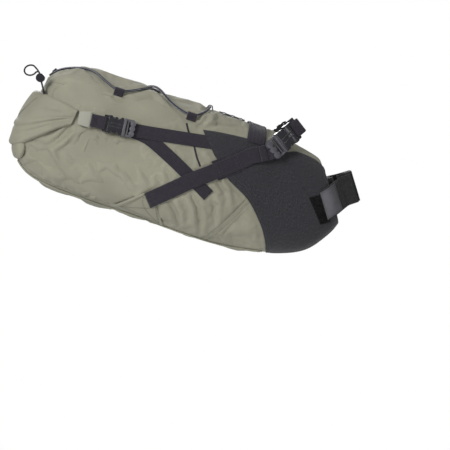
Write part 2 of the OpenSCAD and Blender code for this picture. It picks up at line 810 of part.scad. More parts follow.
// Hook patch sewn to the right side of the nose
module hook_patch() {
    corners = [[-49, -27], [-17, -61], [-3, -52], [-33, -17]];
    function at(i, j, off) =
        let (low = corners[1] + (corners[2] - corners[1]) * i,
            high = corners[0] + (corners[3] - corners[0]) * i,
            p = low + (high - low) * j)
        on_side(p[0], p[1], off)[0];
    function sheet(off) = [for (i = [0:4]) [for (j = [0:4]) at(i / 4, j / 4, off)]];
    color(web_black) in_bag() slab(sheet(3), sheet(2));
}

// ---------------------------------------------------------------- nodes

shell_side("right");  // shell_side_right
shell_side("left");  // shell_side_left
shell_top();
shell_floor();
shell_nose();
side_panel("right");  // side_panel_right
side_panel("left");  // side_panel_left
bottom_panel();
bottom_stiffener();
bottom_piping();
seam_binding();
inner_dry_bag();
inner_bag_roll();
air_valve_body();
air_valve_button();
roll_outer_layer();
roll_inner_layer();
closure_stiffener();
end_tab("right");  // end_tab_right
end_tab("left");  // end_tab_left
tab_webbing("right");  // tab_webbing_right
tab_webbing("left");  // tab_webbing_left
compression_socket("right");  // compression_socket_right
compression_socket("left");  // compression_socket_left
compression_plug("right");  // compression_plug_right
compression_plug("left");  // compression_plug_left
compression_prongs("right");  // compression_prongs_right
compression_prongs("left");  // compression_prongs_left
compression_strap("right");  // compression_strap_right
compression_strap("left");  // compression_strap_left
compression_tail("right");  // compression_tail_right
compression_tail("left");  // compression_tail_left
strap_anchor("right");  // strap_anchor_right
strap_anchor("left");  // strap_anchor_left
saddle_strap("right");  // saddle_strap_right
saddle_strap("left");  // saddle_strap_left
strap_reinforcement("right");  // strap_reinforcement_right
strap_reinforcement("left");  // strap_reinforcement_left
top_yoke();
saddle_plug("right");  // saddle_plug_right
saddle_plug("left");  // saddle_plug_left
saddle_prongs("right");  // saddle_prongs_right
saddle_prongs("left");  // saddle_prongs_left
saddle_socket("right");  // saddle_socket_right
saddle_socket("left");  // saddle_socket_left
rail_loop("right");  // rail_loop_right
rail_loop("left");  // rail_loop_left
daisy_band();
bungee_cord();
cord_tabs();
pull_cord();
pull_cord_anchor();
cord_lock_barrel();
cord_lock_button();
cord_lock_spring();
seatpost_pad();
seatpost_strap();
seatpost_flap();
strap_label();
hook_patch();
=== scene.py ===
"""Looks for the roll-top saddle bag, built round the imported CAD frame.

Shapes are worked out in millimetres in the bag's own frame, where x runs along the bag,
-y is its right side and z is up, and are turned into the row frame when a mesh is made.
"""
import math

import bmesh
import bpy
import numpy as np
from mathutils import Matrix, Vector


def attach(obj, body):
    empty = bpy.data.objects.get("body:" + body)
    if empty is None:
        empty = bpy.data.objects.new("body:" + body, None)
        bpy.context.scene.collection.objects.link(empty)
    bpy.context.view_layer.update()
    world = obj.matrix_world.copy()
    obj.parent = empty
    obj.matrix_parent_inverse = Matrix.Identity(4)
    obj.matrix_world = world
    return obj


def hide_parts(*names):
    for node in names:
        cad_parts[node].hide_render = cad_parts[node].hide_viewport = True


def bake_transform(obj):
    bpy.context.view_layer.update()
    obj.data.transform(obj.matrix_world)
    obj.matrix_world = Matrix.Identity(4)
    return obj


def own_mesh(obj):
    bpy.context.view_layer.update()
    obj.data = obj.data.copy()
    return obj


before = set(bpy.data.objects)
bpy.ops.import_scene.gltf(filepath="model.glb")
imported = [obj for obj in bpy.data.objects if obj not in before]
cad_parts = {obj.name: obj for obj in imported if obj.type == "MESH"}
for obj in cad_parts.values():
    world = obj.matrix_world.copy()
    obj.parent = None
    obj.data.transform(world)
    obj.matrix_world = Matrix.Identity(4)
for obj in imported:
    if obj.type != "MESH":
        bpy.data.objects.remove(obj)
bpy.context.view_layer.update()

rng = np.random.default_rng(7)

# ------------------------------------------------------------------ camera, floor, light

MM = 0.001


def look_at(obj, point):
    obj.rotation_mode = "QUATERNION"
    obj.rotation_quaternion = (Vector(point) - obj.location).to_track_quat("-Z", "Y")


# Width in metres that the picture takes in at the bag's near side, and how far that side
# is from the middle
VIEW_WIDTH = 0.706
NEAR_SIDE = 0.09


def make_camera():
    target = Vector((-0.1856, 0.0, -0.0562))
    distance, yaw, pitch = 3.2, math.radians(-3), math.radians(4)
    cam = bpy.data.objects.new("camera", bpy.data.cameras.new("camera"))
    back = Vector((math.sin(yaw) * math.cos(pitch), -math.cos(yaw) * math.cos(pitch),
                   math.sin(pitch)))
    cam.location = target + back * distance
    look_at(cam, target)
    cam.data.sensor_width = 36
    cam.data.lens = cam.data.sensor_width * (distance - NEAR_SIDE) / VIEW_WIDTH
    cam.data.clip_end = 50
    cam.data.dof.use_dof = False
    bpy.context.scene.collection.objects.link(cam)
    bpy.context.scene.camera = cam


def area_light(name, place, target, size, power):
    lamp = bpy.data.lights.new(name, "AREA")
    lamp.shape, lamp.size, lamp.energy = "SQUARE", size, power
    obj = bpy.data.objects.new(name, lamp)
    obj.location = place
    look_at(obj, target)
    bpy.context.scene.collection.objects.link(obj)


# ------------------------------------------------------------------ materials


class Nodes:
    """A material's node tree, built by small calls."""

    def __init__(self, name):
        self.mat = bpy.data.materials.new(name)
        self.mat.use_nodes = True
        self.tree = self.mat.node_tree
        self.tree.nodes.clear()
        self.out = self.tree.nodes.new("ShaderNodeOutputMaterial")
        self.bsdf = self.tree.nodes.new("ShaderNodeBsdfPrincipled")
        self.tree.links.new(self.bsdf.outputs[0], self.out.inputs[0])
        self.uv = self.tree.nodes.new("ShaderNodeUVMap").outputs[0]
        self.place = self.tree.nodes.new("ShaderNodeTexCoord").outputs["Object"]

    def put(self, socket, value):
        if isinstance(value, bpy.types.NodeSocket):
            self.tree.links.new(value, socket)
        else:
            socket.default_value = value

    def math(self, operation, a, b=0.0, c=0.0):
        node = self.tree.nodes.new("ShaderNodeMath")
        node.operation = operation
        for socket, value in zip(node.inputs, (a, b, c)):
            self.put(socket, value)
        return node.outputs[0]

    def split(self, vector):
        node = self.tree.nodes.new("ShaderNodeSeparateXYZ")
        self.put(node.inputs[0], vector)
        return node.outputs[0], node.outputs[1]

    def noise(self, scale, detail=2.0, rough=0.5, vector=None, stretch=None):
        vector = self.place if vector is None else vector
        if stretch:
            node = self.tree.nodes.new("ShaderNodeMapping")
            self.put(node.inputs["Vector"], vector)
            node.inputs["Scale"].default_value = stretch
            vector = node.outputs[0]
        node = self.tree.nodes.new("ShaderNodeTexNoise")
        self.put(node.inputs["Vector"], vector)
        node.inputs["Scale"].default_value = scale
        node.inputs["Detail"].default_value = detail
        node.inputs["Roughness"].default_value = rough
        return node.outputs[0]

    def ramp(self, value, low, high, to_low=0.0, to_high=1.0):
        node = self.tree.nodes.new("ShaderNodeMapRange")
        node.interpolation_type = "SMOOTHSTEP"
        for socket, v in zip(node.inputs, (value, low, high, to_low, to_high)):
            self.put(socket, v)
        return node.outputs[0]

    def mix(self, factor, a, b):
        node = self.tree.nodes.new("ShaderNodeMix")
        node.data_type = "RGBA"
        self.put(node.inputs[0], factor)
        for socket, value in ((node.inputs[6], a), (node.inputs[7], b)):
            self.put(socket, value if isinstance(value, bpy.types.NodeSocket) else (*value, 1))
        return node.outputs[2]

    def bump(self, height, depth, strength=1.0, below=None):
        node = self.tree.nodes.new("ShaderNodeBump")
        node.inputs["Strength"].default_value = strength
        node.inputs["Distance"].default_value = depth
        self.put(node.inputs["Height"], height)
        if below is not None:
            self.put(node.inputs["Normal"], below)
        return node.outputs[0]

    def finish(self, colour, rough, normal=None, **sockets):
        self.put(self.bsdf.inputs["Base Color"],
                 colour if isinstance(colour, bpy.types.NodeSocket) else (*colour, 1))
        self.put(self.bsdf.inputs["Roughness"], rough)
        if normal is not None:
            self.put(self.bsdf.inputs["Normal"], normal)
        for name, value in sockets.items():
            self.bsdf.inputs[name.replace("_", " ")].default_value = value
        return self.mat


def scaled(colour, k):
    return tuple(c * k for c in colour)


def plain_weave(n, pitch):
    """Height of a plain weave, from UVs in millimetres."""
    u, v = n.split(n.uv)
    across = n.math("SINE", n.math("MULTIPLY", u, math.pi / pitch))
    along = n.math("SINE", n.math("MULTIPLY", v, math.pi / pitch))
    return n.math("ABSOLUTE", n.math("MULTIPLY", across, along))


def coated_fabric(name, colour, rough=0.62, mottle=0.10):
    n = Nodes(name)
    weave = plain_weave(n, 0.55)
    cloud = n.ramp(n.noise(14, 3), 0.3, 0.7)
    tone = n.mix(cloud, scaled(colour, 1 - mottle), scaled(colour, 1 + mottle))
    thread = n.ramp(n.noise(900, 1), 0.3, 0.7)
    tone = n.mix(n.math("MULTIPLY", thread, 0.35), tone, scaled(colour, 0.86))
    crush = n.bump(n.noise(120, 4, 0.6), 0.0007, 0.35)
    normal = n.bump(weave, 0.00012, 0.6, crush)
    return n.finish(tone, n.ramp(n.noise(60), 0.3, 0.7, rough - 0.06, rough + 0.06), normal,
                    Sheen_Weight=0.12, Sheen_Roughness=0.5, Specular_IOR_Level=0.35)


def heather_fabric(name, dark, light):
    """Black yarn-dyed fabric: fine lighter threads one way."""
    n = Nodes(name)
    streak = n.noise(1.0, 2, 0.6, n.uv, (2.2, 0.25, 1))
    cross = n.noise(1.0, 2, 0.6, n.uv, (0.25, 2.2, 1))
    mixed = n.math("ADD", n.math("MULTIPLY", streak, 0.65), n.math("MULTIPLY", cross, 0.35))
    tone = n.mix(n.ramp(mixed, 0.40, 0.66), dark, light)
    normal = n.bump(plain_weave(n, 0.8), 0.0002, 0.7)
    return n.finish(tone, 0.82, normal, Sheen_Weight=0.25, Sheen_Roughness=0.45,
                    Specular_IOR_Level=0.25)


def webbing(name, colour, pitch=1.7, rough=0.7):
    """Chevron-woven webbing, from UVs in millimetres with v across the strap."""
    n = Nodes(name)
    u, v = n.split(n.uv)
    zigzag = n.math("PINGPONG", v, 3.1)
    rib = n.math("SINE", n.math("MULTIPLY", n.math("ADD", u, zigzag), 2 * math.pi / pitch))
    cord = n.math("SINE", n.math("MULTIPLY", v, 2 * math.pi / 1.05))
    height = n.math("ADD", n.math("MULTIPLY", rib, 0.6), n.math("MULTIPLY", cord, 0.4))
    # colour follows the weave's height: painted shade in its low parts and painted highlight on its
    # raised ribs
    tone = n.mix(n.ramp(height, -0.8, 0.8), scaled(colour, 0.6), scaled(colour, 1.25))
    fuzz = n.ramp(n.noise(260, 3), 0.35, 0.75, 0.0, 0.35)
    tone = n.mix(fuzz, tone, scaled(colour, 1.9))
    return n.finish(tone, rough, n.bump(height, 0.00028, 0.9), Sheen_Weight=0.3,
                    Sheen_Roughness=0.4, Specular_IOR_Level=0.3)


def moulded_plastic(name, colour, rough, coat=0.0):
    n = Nodes(name)
    grain = n.noise(1500, 2)
    scuff = n.ramp(n.noise(90, 4, 0.65), 0.45, 0.75)
    tone = n.mix(scuff, colour, scaled(colour, 1.35))
    return n.finish(tone, n.ramp(n.noise(40, 3), 0.3, 0.75, rough - 0.05, rough + 0.08),
                    n.bump(grain, 0.00006, 0.5), Specular_IOR_Level=0.5, Coat_Weight=coat,
                    Coat_Roughness=0.15)


def braided_cord(name, dark, fleck, share, pitch=3.4):
    """Braid from UVs: u in millimetres along the cord, v once round it."""
    n = Nodes(name)
    u, v = n.split(n.uv)
    turns = n.math("MULTIPLY", v, 4 * math.pi)
    run = n.math("MULTIPLY", u, 2 * math.pi / pitch)
    braid = n.math("MULTIPLY", n.math("SINE", n.math("ADD", run, turns)),
                   n.math("SINE", n.math("SUBTRACT", run, turns)))
    tone = n.mix(n.ramp(braid, 1 - share, 1.15 - share), dark, fleck)
    return n.finish(tone, 0.6, n.bump(n.math("ABSOLUTE", braid), 0.0005, 0.8),
                    Sheen_Weight=0.2, Specular_IOR_Level=0.35)


def hook_pile(name, colour):
    n = Nodes(name)
    fuzz = n.noise(700, 5, 0.7)
    # colour follows the same noise as the bump: painted shade low in the pile and painted highlight on
    # its raised tufts
    tone = n.mix(n.ramp(fuzz, 0.35, 0.65), scaled(colour, 0.3), scaled(colour, 2.0))
    return n.finish(tone, 0.95, n.bump(fuzz, 0.0012, 1.0), Sheen_Weight=0.1,
                    Specular_IOR_Level=0.1)


def rubber(name, colour):
    n = Nodes(name)
    normal = n.bump(n.noise(600, 3), 0.00015, 0.6)
    tone = n.mix(n.ramp(n.noise(45, 3), 0.35, 0.7), scaled(colour, 0.88), scaled(colour, 1.12))
    return n.finish(tone, 0.55, normal, Specular_IOR_Level=0.4)


def steel(name):
    n = Nodes(name)
    tone = n.mix(n.noise(400), (0.45, 0.45, 0.46), (0.6, 0.6, 0.6))
    return n.finish(tone, 0.3, n.bump(n.noise(900), 0.00005, 0.5), Metallic=1.0)


def sewing_thread(name, colour):
    n = Nodes(name)
    twist = n.noise(2500, 1)
    # colour follows the same noise as the bump: painted shade in the twist's hollows and painted
    # highlight on its raised strands
    tone = n.mix(twist, scaled(colour, 0.75), scaled(colour, 1.2))
    return n.finish(tone, 0.6, n.bump(twist, 0.00008, 0.6), Sheen_Weight=0.2)


GREEN = (0.300, 0.292, 0.222)
M = {
    "shell": coated_fabric("shell_fabric", GREEN),
    "tab": coated_fabric("end_tab_fabric", (0.345, 0.34, 0.285), 0.75, 0.06),
    "panel": heather_fabric("side_panel_fabric", (0.017, 0.017, 0.021), (0.062, 0.062, 0.072)),
    "web": webbing("strap_webbing", (0.026, 0.022, 0.032)),
    "post_web": webbing("seatpost_strap_weave", (0.021, 0.021, 0.022), 2.4, 0.85),
    "socket": moulded_plastic("socket_plastic", (0.016, 0.016, 0.022), 0.17, 0.8),
    "plug": moulded_plastic("plug_plastic", (0.085, 0.085, 0.10), 0.42),
    "bungee": braided_cord("elastic_cord_braid", (0.010, 0.010, 0.022), (0.62, 0.64, 0.72), 0.38),
    "pull": braided_cord("pull_cord_braid", (0.016, 0.016, 0.02), (0.05, 0.05, 0.06), 0.5, 2.0),
    "hook": hook_pile("hook_pile", (0.008, 0.008, 0.009)),
    "label": rubber("label_rubber", (0.115, 0.115, 0.128)),
    "rubber": rubber("pad_rubber", (0.022, 0.022, 0.024)),
    "steel": steel("spring_steel"),
    "green_thread": sewing_thread("green_thread", (0.10, 0.097, 0.068)),
    "black_thread": sewing_thread("black_thread", (0.022, 0.020, 0.028)),
    "sheet": moulded_plastic("stiffener_sheet", (0.02, 0.02, 0.022), 0.5),
    "liner": coated_fabric("dry_bag_fabric", (0.26, 0.28, 0.31), 0.35),
}

# ------------------------------------------------------------------ frames and the bag's surface

BAG_TILT = math.radians(19)
POST_TILT = math.radians(17)
BAG_W = 176
POWER = 2 / 2.8
SECTIONS = np.array([
    [-506, -8, -520, -95, 0.57], [-497, 20, -508, -118, 0.73],
    [-478, 40, -482, -137, 0.86], [-440, 51, -440, -145, 0.95],
    [-380, 53, -370, -147, 1.00], [-310, 53, -300, -146, 1.00],
    [-240, 54, -230, -148, 0.97], [-185, 54, -165, -147, 0.89],
    [-140, 53, -110, -139, 0.80], [-100, 48, -60, -127, 0.68],
    [-70, 43, -22, -107, 0.58], [-49, 37, 4, -72, 0.50],
    [-42, 27, 13, -50, 0.41]], float)
LAST = len(SECTIONS) - 1


def turned(points, angle):
    p = np.asarray(points, float)
    c, s = math.cos(angle), math.sin(angle)
    return np.stack([p[..., 0] * c + p[..., 2] * s, p[..., 1],
                     -p[..., 0] * s + p[..., 2] * c], -1)


def bag(points):
    return turned(points, BAG_TILT) * MM


def post(points):
    return turned(points, -POST_TILT) * MM


def unit(v):
    v = np.asarray(v, float)
    return v / np.linalg.norm(v, axis=-1, keepdims=True)


def along(table, t):
    """A smooth curve through the table's rows, read at t from 0 to its last index."""
    table = np.asarray(table, float)
    t = np.clip(np.asarray(t, float), 0, len(table) - 1)
    i = np.minimum(np.floor(t).astype(int), len(table) - 2)
    f = (t - i)[..., None] if table.ndim > 1 else t - i
    a, b = table[np.maximum(i - 1, 0)], table[i]
    c, d = table[i + 1], table[np.minimum(i + 2, len(table) - 1)]
    return 0.5 * (2 * b + (c - a) * f + (2 * a - 5 * b + 4 * c - d) * f * f
                  + (3 * b - a - 3 * c + d) * f * f * f)


def smooth(table, steps):
    return along(table, np.linspace(0, len(table) - 1, steps + 1))


def signed_power(v):
    return np.sign(v) * np.abs(v) ** POWER


def skin(u, angle, off=0.0):
    """The bag's smooth surface. u runs from the rear, 0, to the nose, LAST, and the angle
    round the section: 0 is the right side, 90 the top, 180 the left, 270 the bottom."""
    s = along(SECTIONS, u)
    a = np.radians(angle)
    hx, hz = (s[..., 0] - s[..., 2]) / 2, (s[..., 1] - s[..., 3]) / 2
    k = 1 + off / np.hypot(hx, hz)
    up = signed_power(np.sin(a))
    return np.stack([(s[..., 0] + s[..., 2]) / 2 + hx * k * up,
                     -(s[..., 4] * BAG_W / 2 + off) * signed_power(np.cos(a)),
                     (s[..., 1] + s[..., 3]) / 2 + hz * k * up], -1)


def skin_normal(u, angle):
    u, angle = np.broadcast_arrays(np.asarray(u, float), np.asarray(angle, float))
    du = skin(u + 0.05, angle) - skin(u - 0.05, angle)
    da = skin(u, angle + 2) - skin(u, angle - 2)
    return unit(np.cross(du, da))


def find_u(x, z):
    low, high = np.zeros_like(x), np.full_like(x, LAST)
    for _ in range(16):
        middle = (low + high) / 2
        s = along(SECTIONS, middle)
        front = ((x - s[..., 2]) * (s[..., 1] - s[..., 3])
                 - (z - s[..., 3]) * (s[..., 0] - s[..., 2])) > 0
        low, high = np.where(front, middle, low), np.where(front, high, middle)
    return (low + high) / 2


def find_angle(u, x, z):
    s = along(SECTIONS, u)
    hx, hz = (s[..., 0] - s[..., 2]) / 2, (s[..., 1] - s[..., 3]) / 2
    r = ((x - (s[..., 0] + s[..., 2]) / 2) * hx
         + (z - (s[..., 1] + s[..., 3]) / 2) * hz) / (hx * hx + hz * hz)
    r = np.clip(r, -1, 1)
    return np.degrees(np.arcsin(np.sign(r) * np.abs(r) ** (1 / POWER)))


def on_side(x, z, off=0.0):
    """Point and outward normal of the smooth right side, from the side view's x and z."""
    x, z = np.broadcast_arrays(np.asarray(x, float), np.asarray(z, float))
    u = find_u(x, z)
    angle = find_angle(u, x, z)
    return skin(u, angle, off), skin_normal(u, angle)


def even_angles(count):
    """Angles that space points evenly round a section."""
    quarter = np.degrees(np.arcsin(np.linspace(0, 1, 400) ** (1 / POWER)))
    quarter = np.unique(np.concatenate([quarter, 90 - quarter]))
    dense = np.concatenate([quarter[:-1] + 90 * k for k in range(4)] + [[360]])
    ring = skin(np.full(len(dense), 5.0), dense)
    length = np.concatenate([[0], np.cumsum(np.linalg.norm(np.diff(ring, axis=0), axis=1))])
    return np.interp(np.linspace(0, length[-1], count + 1), length, dense)


ROWS, COLS = 176, 208
ANGLES = even_angles(COLS)          # the last repeats the first, a turn later
_u = np.linspace(0, LAST, 600)
_run = np.concatenate([[0], np.cumsum(np.linalg.norm(
    np.diff(skin(_u, np.full(600, 10.0)), axis=0), axis=1))])
US = np.interp(np.linspace(0, _run[-1], ROWS + 1), _run, _u)
U_GRID, A_GRID = np.meshgrid(US, ANGLES[:-1], indexing="ij")
BASE = skin(U_GRID, A_GRID)
BASE_N = skin_normal(U_GRID, A_GRID)

# ------------------------------------------------------------------ creases in the fabric


def path_field(points):
    """Of each grid point: distance to a path, which side of it the point lies on, and how
    far along the path its nearest point is, from 0 to 1."""
    lengths = np.linalg.norm(np.diff(points, axis=0), axis=1)
    starts = np.concatenate([[0], np.cumsum(lengths)])
    best = np.full(BASE.shape[:2], 1e9)
    side, place = np.zeros_like(best), np.zeros_like(best)
    for k in range(len(points) - 1):
        ab = points[k + 1] - points[k]
        ap = BASE - points[k]
        t = np.clip((ap @ ab) / max(ab @ ab, 1e-9), 0, 1)
        gap = ap - t[..., None] * ab
        d = np.linalg.norm(gap, axis=-1)
        nearer = d < best
        best = np.where(nearer, d, best)
        turn = np.sign(np.einsum("ijk,ijk->ij", np.cross(ab, gap), BASE_N))
        side = np.where(nearer, turn, side)
        place = np.where(nearer, (starts[k] + t * lengths[k]) / starts[-1], place)
    return best, side, place


def mirrored(points, nudge=(0, 0, 0)):
    p = np.array(points, float) + nudge
    p[:, 1] *= -1
    return p


# A fold's path on the side, in x and z, its depth, its width, and how much of its start
# and of its end fade out
FOLDS = [
    ([(-440, -42), (-446, -55), (-451, -66), (-460, -77), (-468, -86)], 4.2, 4.5, 0.05, 0.6),
    ([(-410, -36), (-415, -49), (-419, -70), (-413, -81), (-402, -93)], 2.6, 5.0, 0.1, 0.5),
    ([(-407, -36), (-403, -55), (-400, -76), (-388, -88), (-377, -101)], 2.4, 5.0, 0.1, 0.6),
    ([(-446, -76), (-442, -91), (-428, -105)], 2.0, 6.0, 0.4, 0.5),
    ([(-396, -36), (-386, -55), (-379, -69)], 2.4, 4.5, 0.1, 0.7),
    ([(-384, -38), (-372, -52), (-366, -72)], 1.6, 5.0, 0.1, 0.7),
    ([(-353, -49), (-344, -65), (-338, -79)], 1.6, 6.0, 0.4, 0.5),
    ([(-336, -32), (-334, -47), (-323, -60)], 1.5, 5.0, 0.2, 0.6),
    ([(-493, -126), (-476, -119), (-462, -122)], 2.4, 7.0, 0.3, 0.5),
    ([(-386, -140), (-371, -129), (-356, -124), (-340, -125), (-324, -128)], 2.6, 3.6, 0.4, 0.3),
    ([(-398, 22), (-371, 26), (-354, 25), (-340, 27)], 2.2, 4.0, 0.2, 0.5),
    ([(-346, 27), (-316, 33), (-295, 32)], 1.8, 3.4, 0.3, 0.4),
    ([(-452, 14), (-443, 6), (-431, -1)], 2.8, 3.6, 0.2, 0.5),
    ([(-430, 22), (-424, 12), (-420, 4)], 1.6, 4.0, 0.2, 0.6),
    ([(-241, -14), (-231, -21), (-218, -26)], 1.6, 3.4, 0.3, 0.4),
    ([(-252, 22), (-223, 36), (-193, 42), (-162, 45)], 2.8, 3.6, 0.15, 0.6),
    ([(-240, 24), (-205, 30), (-170, 35)], 1.6, 3.2, 0.2, 0.6),
    ([(-240, 44), (-247, 30), (-254, 20)], 2.2, 3.2, 0.2, 0.3),
    ([(-259, -101), (-241, -119), (-228, -138)], 3.4, 4.6, 0.1, 0.4),
    ([(-230, -78), (-213, -95), (-203, -116), (-194, -138)], 3.2, 4.6, 0.1, 0.4),
    ([(-203, -72), (-188, -86), (-184, -102), (-176, -117)], 2.8, 4.0, 0.1, 0.5),
    ([(-197, -47), (-182, -60), (-170, -81)], 2.6, 4.0, 0.05, 0.5),
    ([(-243, -92), (-227, -106), (-216, -126)], 1.8, 4.0, 0.2, 0.5),
    ([(-292, -68), (-277, -82)], 1.8, 4.0, 0.3, 0.4),
    ([(-306, -74), (-296, -63)], 1.4, 4.0, 0.3, 0.4),
    ([(-310, -30), (-296, -41)], 1.6, 4.0, 0.3, 0.4),
    ([(-283, -57), (-262, -70)], 1.4, 4.5, 0.3, 0.4),
    ([(-330, -70), (-318, -92), (-312, -110)], 1.5, 8.0, 0.4, 0.4),
    ([(-375, -85), (-352, -104), (-330, -112)], 1.6, 9.0, 0.4, 0.4),
    ([(-462, -96), (-440, -112), (-410, -124)], 1.8, 10.0, 0.4, 0.4)]

# Lacing of the elastic cord from the rear to the front, one half: u, angle, height
LACING = np.array([
    [0.95, 89.3, 8.4], [1.9, 88.3, 2.7], [2.9, 80, 2.7], [3.45, 58, 2.7], [3.87, 47, 4.4],
    [4.25, 60, 2.7], [4.65, 90, 2.7], [5.1, 122, 2.7], [5.58, 133, 4.4], [5.86, 116, 2.7],
    [5.98, 90, 4.4]])


def lace(steps, mirror, hop):
    p = smooth(LACING, steps)
    q = skin(p[:, 0], p[:, 1], p[:, 2] + hop * np.exp(-((p[:, 0] - 4.65) / 0.22) ** 2))
    q[:, 1] *= -1 if mirror else 1
    return q


# Lines where the fabric is held down: sewn straps, seams and tabs, with the distance in
# millimetres within which it lies flat
COMP_ROUTE = [(-355, -16.8, 5), (-344, -15, 4.9), (-322, -11.4, 3.6), (-290, -5.8, 2.6),
              (-258, -0.2, 2), (-233, 4.3, 1.6)]
TAIL_ROUTE = [(-347, -18, 2.5), (-335, -18, 1.2), (-318, -21, 1.2), (-296, -29.5, 1.2),
              (-272, -40, 1.2), (-248, -51.5, 1.2), (-225, -63, 1.2), (-203, -74, 1.2)]
SADDLE_ROUTE = [(-291, -112, 2.7), (-262, -85, 2.7), (-236, -60, 3.7), (-212, -40, 4),
                (-188, -20, 4), (-163, 2, 4.6)]
DART = [(-141, -60), (-150, -80), (-163, -106), (-186, -146)]
SEAM = [(-272, 22), (-266, 12), (-250, -7), (-240, -23), (-230, -35)]

# A side panel's rear edge from its bottom to its top, and its upper edge to the nose
PANEL_REAR = [(-74, -140), (-82, -133), (-95, -110), (-112, -88), (-142, -60), (-183, -39),
              (-206, -18), (-220, -6), (-244, 20)]
PANEL_TOP = [(-244, 20), (-216, 25), (-165, 30), (-130, 29), (-105, 30), (-90, 35), (-61, 33.5),
             (-44, 27)]


def on_flank(path):
    return on_side(*np.array(path, float).T)[0]


def relief():
    """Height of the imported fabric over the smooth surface, in millimetres."""
    field = np.zeros(BASE.shape[:2])
    side_on = np.clip(np.abs(BASE[..., 1]) / 30, 0, 1)
    for path, depth, width, fade_in, fade_out in FOLDS:
        for hand in (0, 1):
            points = on_flank(path)
            if hand:
                points = mirrored(points, (rng.uniform(-7, 7), 0, rng.uniform(-5, 5)))
            d, s, t = path_field(points)
            ends = np.clip(t / fade_in, 0, 1) * np.clip((1 - t) / fade_out, 0, 1)
            valley = np.exp(-(d / width) ** 2)
            ridge = np.exp(-((d - 1.9 * width) / (1.2 * width)) ** 2) * np.where(s > 0, 0.55, 0.3)
            field += 1.5 * depth * (ridge - valley) * ends ** 0.8 * side_on
    # soft billows where the stuffed bag pushes between its straps
    waves = np.zeros_like(field)
    for _ in range(26):
        way = rng.normal(size=3) * (1.0, 0.8, 0.55)
        waves += np.sin(BASE @ (way / 17.0) + rng.uniform(0, 6.3)) * rng.uniform(0.4, 1)
    field += 0.17 * waves
    # the cord sinks into the top, and the fabric swells between its runs
    for mirror in (False, True):
        d, _, _ = path_field(lace(60, mirror, 0))
        field -= 2.0 * np.exp(-(d / 7) ** 2)
        field += 1.1 * np.exp(-((d - 17) / 9) ** 2)
    return field


def held_down():
    """From 0, free, to 1, held to the smooth surface."""
    held = np.zeros(BASE.shape[:2])

    def hold(points, reach, soft=7.0):
        nonlocal held
        for p in (points, mirrored(points)):
            d, _, _ = path_field(p)
            held = np.maximum(held, np.clip(1 - (d - reach) / soft, 0, 1))

    for route, reach in ((COMP_ROUTE, 9), (TAIL_ROUTE, 8), (SADDLE_ROUTE, 11)):
        r = np.array(route, float)
        hold(on_side(r[:, 0], r[:, 1])[0], reach)
    for route, reach in ((DART, 1.5), (SEAM, 1), (PANEL_REAR, 3), (PANEL_TOP, 3)):
        hold(on_flank(route), reach, 5)
    hold(on_side(np.array([-440.0, -400, -345]), np.array([-26.0, -20, -16]))[0], 12)
    hold(skin(np.linspace(1.2, 8.4, 40), np.full(40, -72.0)), 3, 6)
    hold(skin(np.array([3.87, 3.9]), np.array([47.0, 47])), 6)
    hold(skin(np.array([5.58, 5.6]), np.array([133.0, 133])), 6)
    hold(skin(np.full(9, 7.5), np.linspace(40, 140, 9)), 14)
    hold(skin(np.linspace(6.2, 7.2, 9), np.full(9, 90.0)), 9)
    d = np.minimum(US, LAST - US)[:, None]
    held = np.maximum(held, np.clip(1.0 - d / 0.25, 0, 1) * np.ones_like(held))
    front = np.clip((U_GRID - 8.6) / 0.8, 0, 1)
    return np.maximum(held, 0.75 * front)


def puffed(points, held, frames=20, cap=5.0, steps=10):
    """Cloth simulation of the shell: the stuffing pushes from inside, and the fabric, cut a
    little full, wrinkles between the places that hold it."""
    rows, cols = points.shape[:2]
    body = grid_mesh("cloth_shell", bag(points), None, None, True)
    group = body.vertex_groups.new(name="held")
    weights = held.reshape(-1)
    for level in range(steps + 1):
        picked = np.nonzero(np.round(weights * steps).astype(int) == level)[0]
        group.add([int(i) for i in picked], level / steps, "REPLACE")
    cloth = body.modifiers.new("cloth", "CLOTH")
    s = cloth.settings
    s.quality = 5
    s.mass = 0.25
    s.tension_stiffness = s.compression_stiffness = 22
    s.shear_stiffness = 6
    s.bending_stiffness = 0.35
    s.vertex_group_mass = "held"
    s.pin_stiffness = 1.0
    s.use_pressure = True
    s.uniform_pressure_force = 3.0
    s.shrink_min = -0.035
    s.effector_weights.gravity = 0
    cloth.collision_settings.use_collision = False
    scene = bpy.context.scene
    for number in range(1, frames + 1):
        scene.frame_set(number)
    dg = bpy.context.evaluated_depsgraph_get()
    mesh = body.evaluated_get(dg).to_mesh()
    co = np.zeros(len(mesh.vertices) * 3)
    mesh.vertices.foreach_get("co", co)
    moved = turned(co.reshape(rows, cols, 3) / MM, -BAG_TILT) - points
    body.evaluated_get(dg).to_mesh_clear()
    bpy.data.objects.remove(body)
    scene.frame_set(1)
    size = np.linalg.norm(moved, axis=-1, keepdims=True)
    return points + moved * np.minimum(1, cap / np.maximum(size, 1e-6))


# ------------------------------------------------------------------ meshes


def mesh_object(name, verts, faces, material, loop_uv=None):
    mesh = bpy.data.meshes.new(name)
    mesh.from_pydata([tuple(v) for v in verts], [], faces)
    if loop_uv is not None:
        layer = mesh.uv_layers.new(name="UVMap")
        layer.data.foreach_set("uv", np.asarray(loop_uv, np.float32).reshape(-1))
    mesh.polygons.foreach_set("use_smooth", [True] * len(mesh.polygons))
    if material is not None:
        mesh.materials.append(M[material])
    mesh.update()
    obj = bpy.data.objects.new(name, mesh)
    bpy.context.scene.collection.objects.link(obj)
    return obj


def measured(points):
    """Millimetre UVs of a grid of points in metres: along the rows, then along the columns."""
    def run(axis):
        step = np.linalg.norm(np.diff(points, axis=axis), axis=-1) / MM
        pad = np.zeros((1, step.shape[1])) if axis == 0 else np.zeros((step.shape[0], 1))
        return np.concatenate([pad, np.cumsum(step, axis)], axis)
    return np.stack([run(0), run(1)], -1)


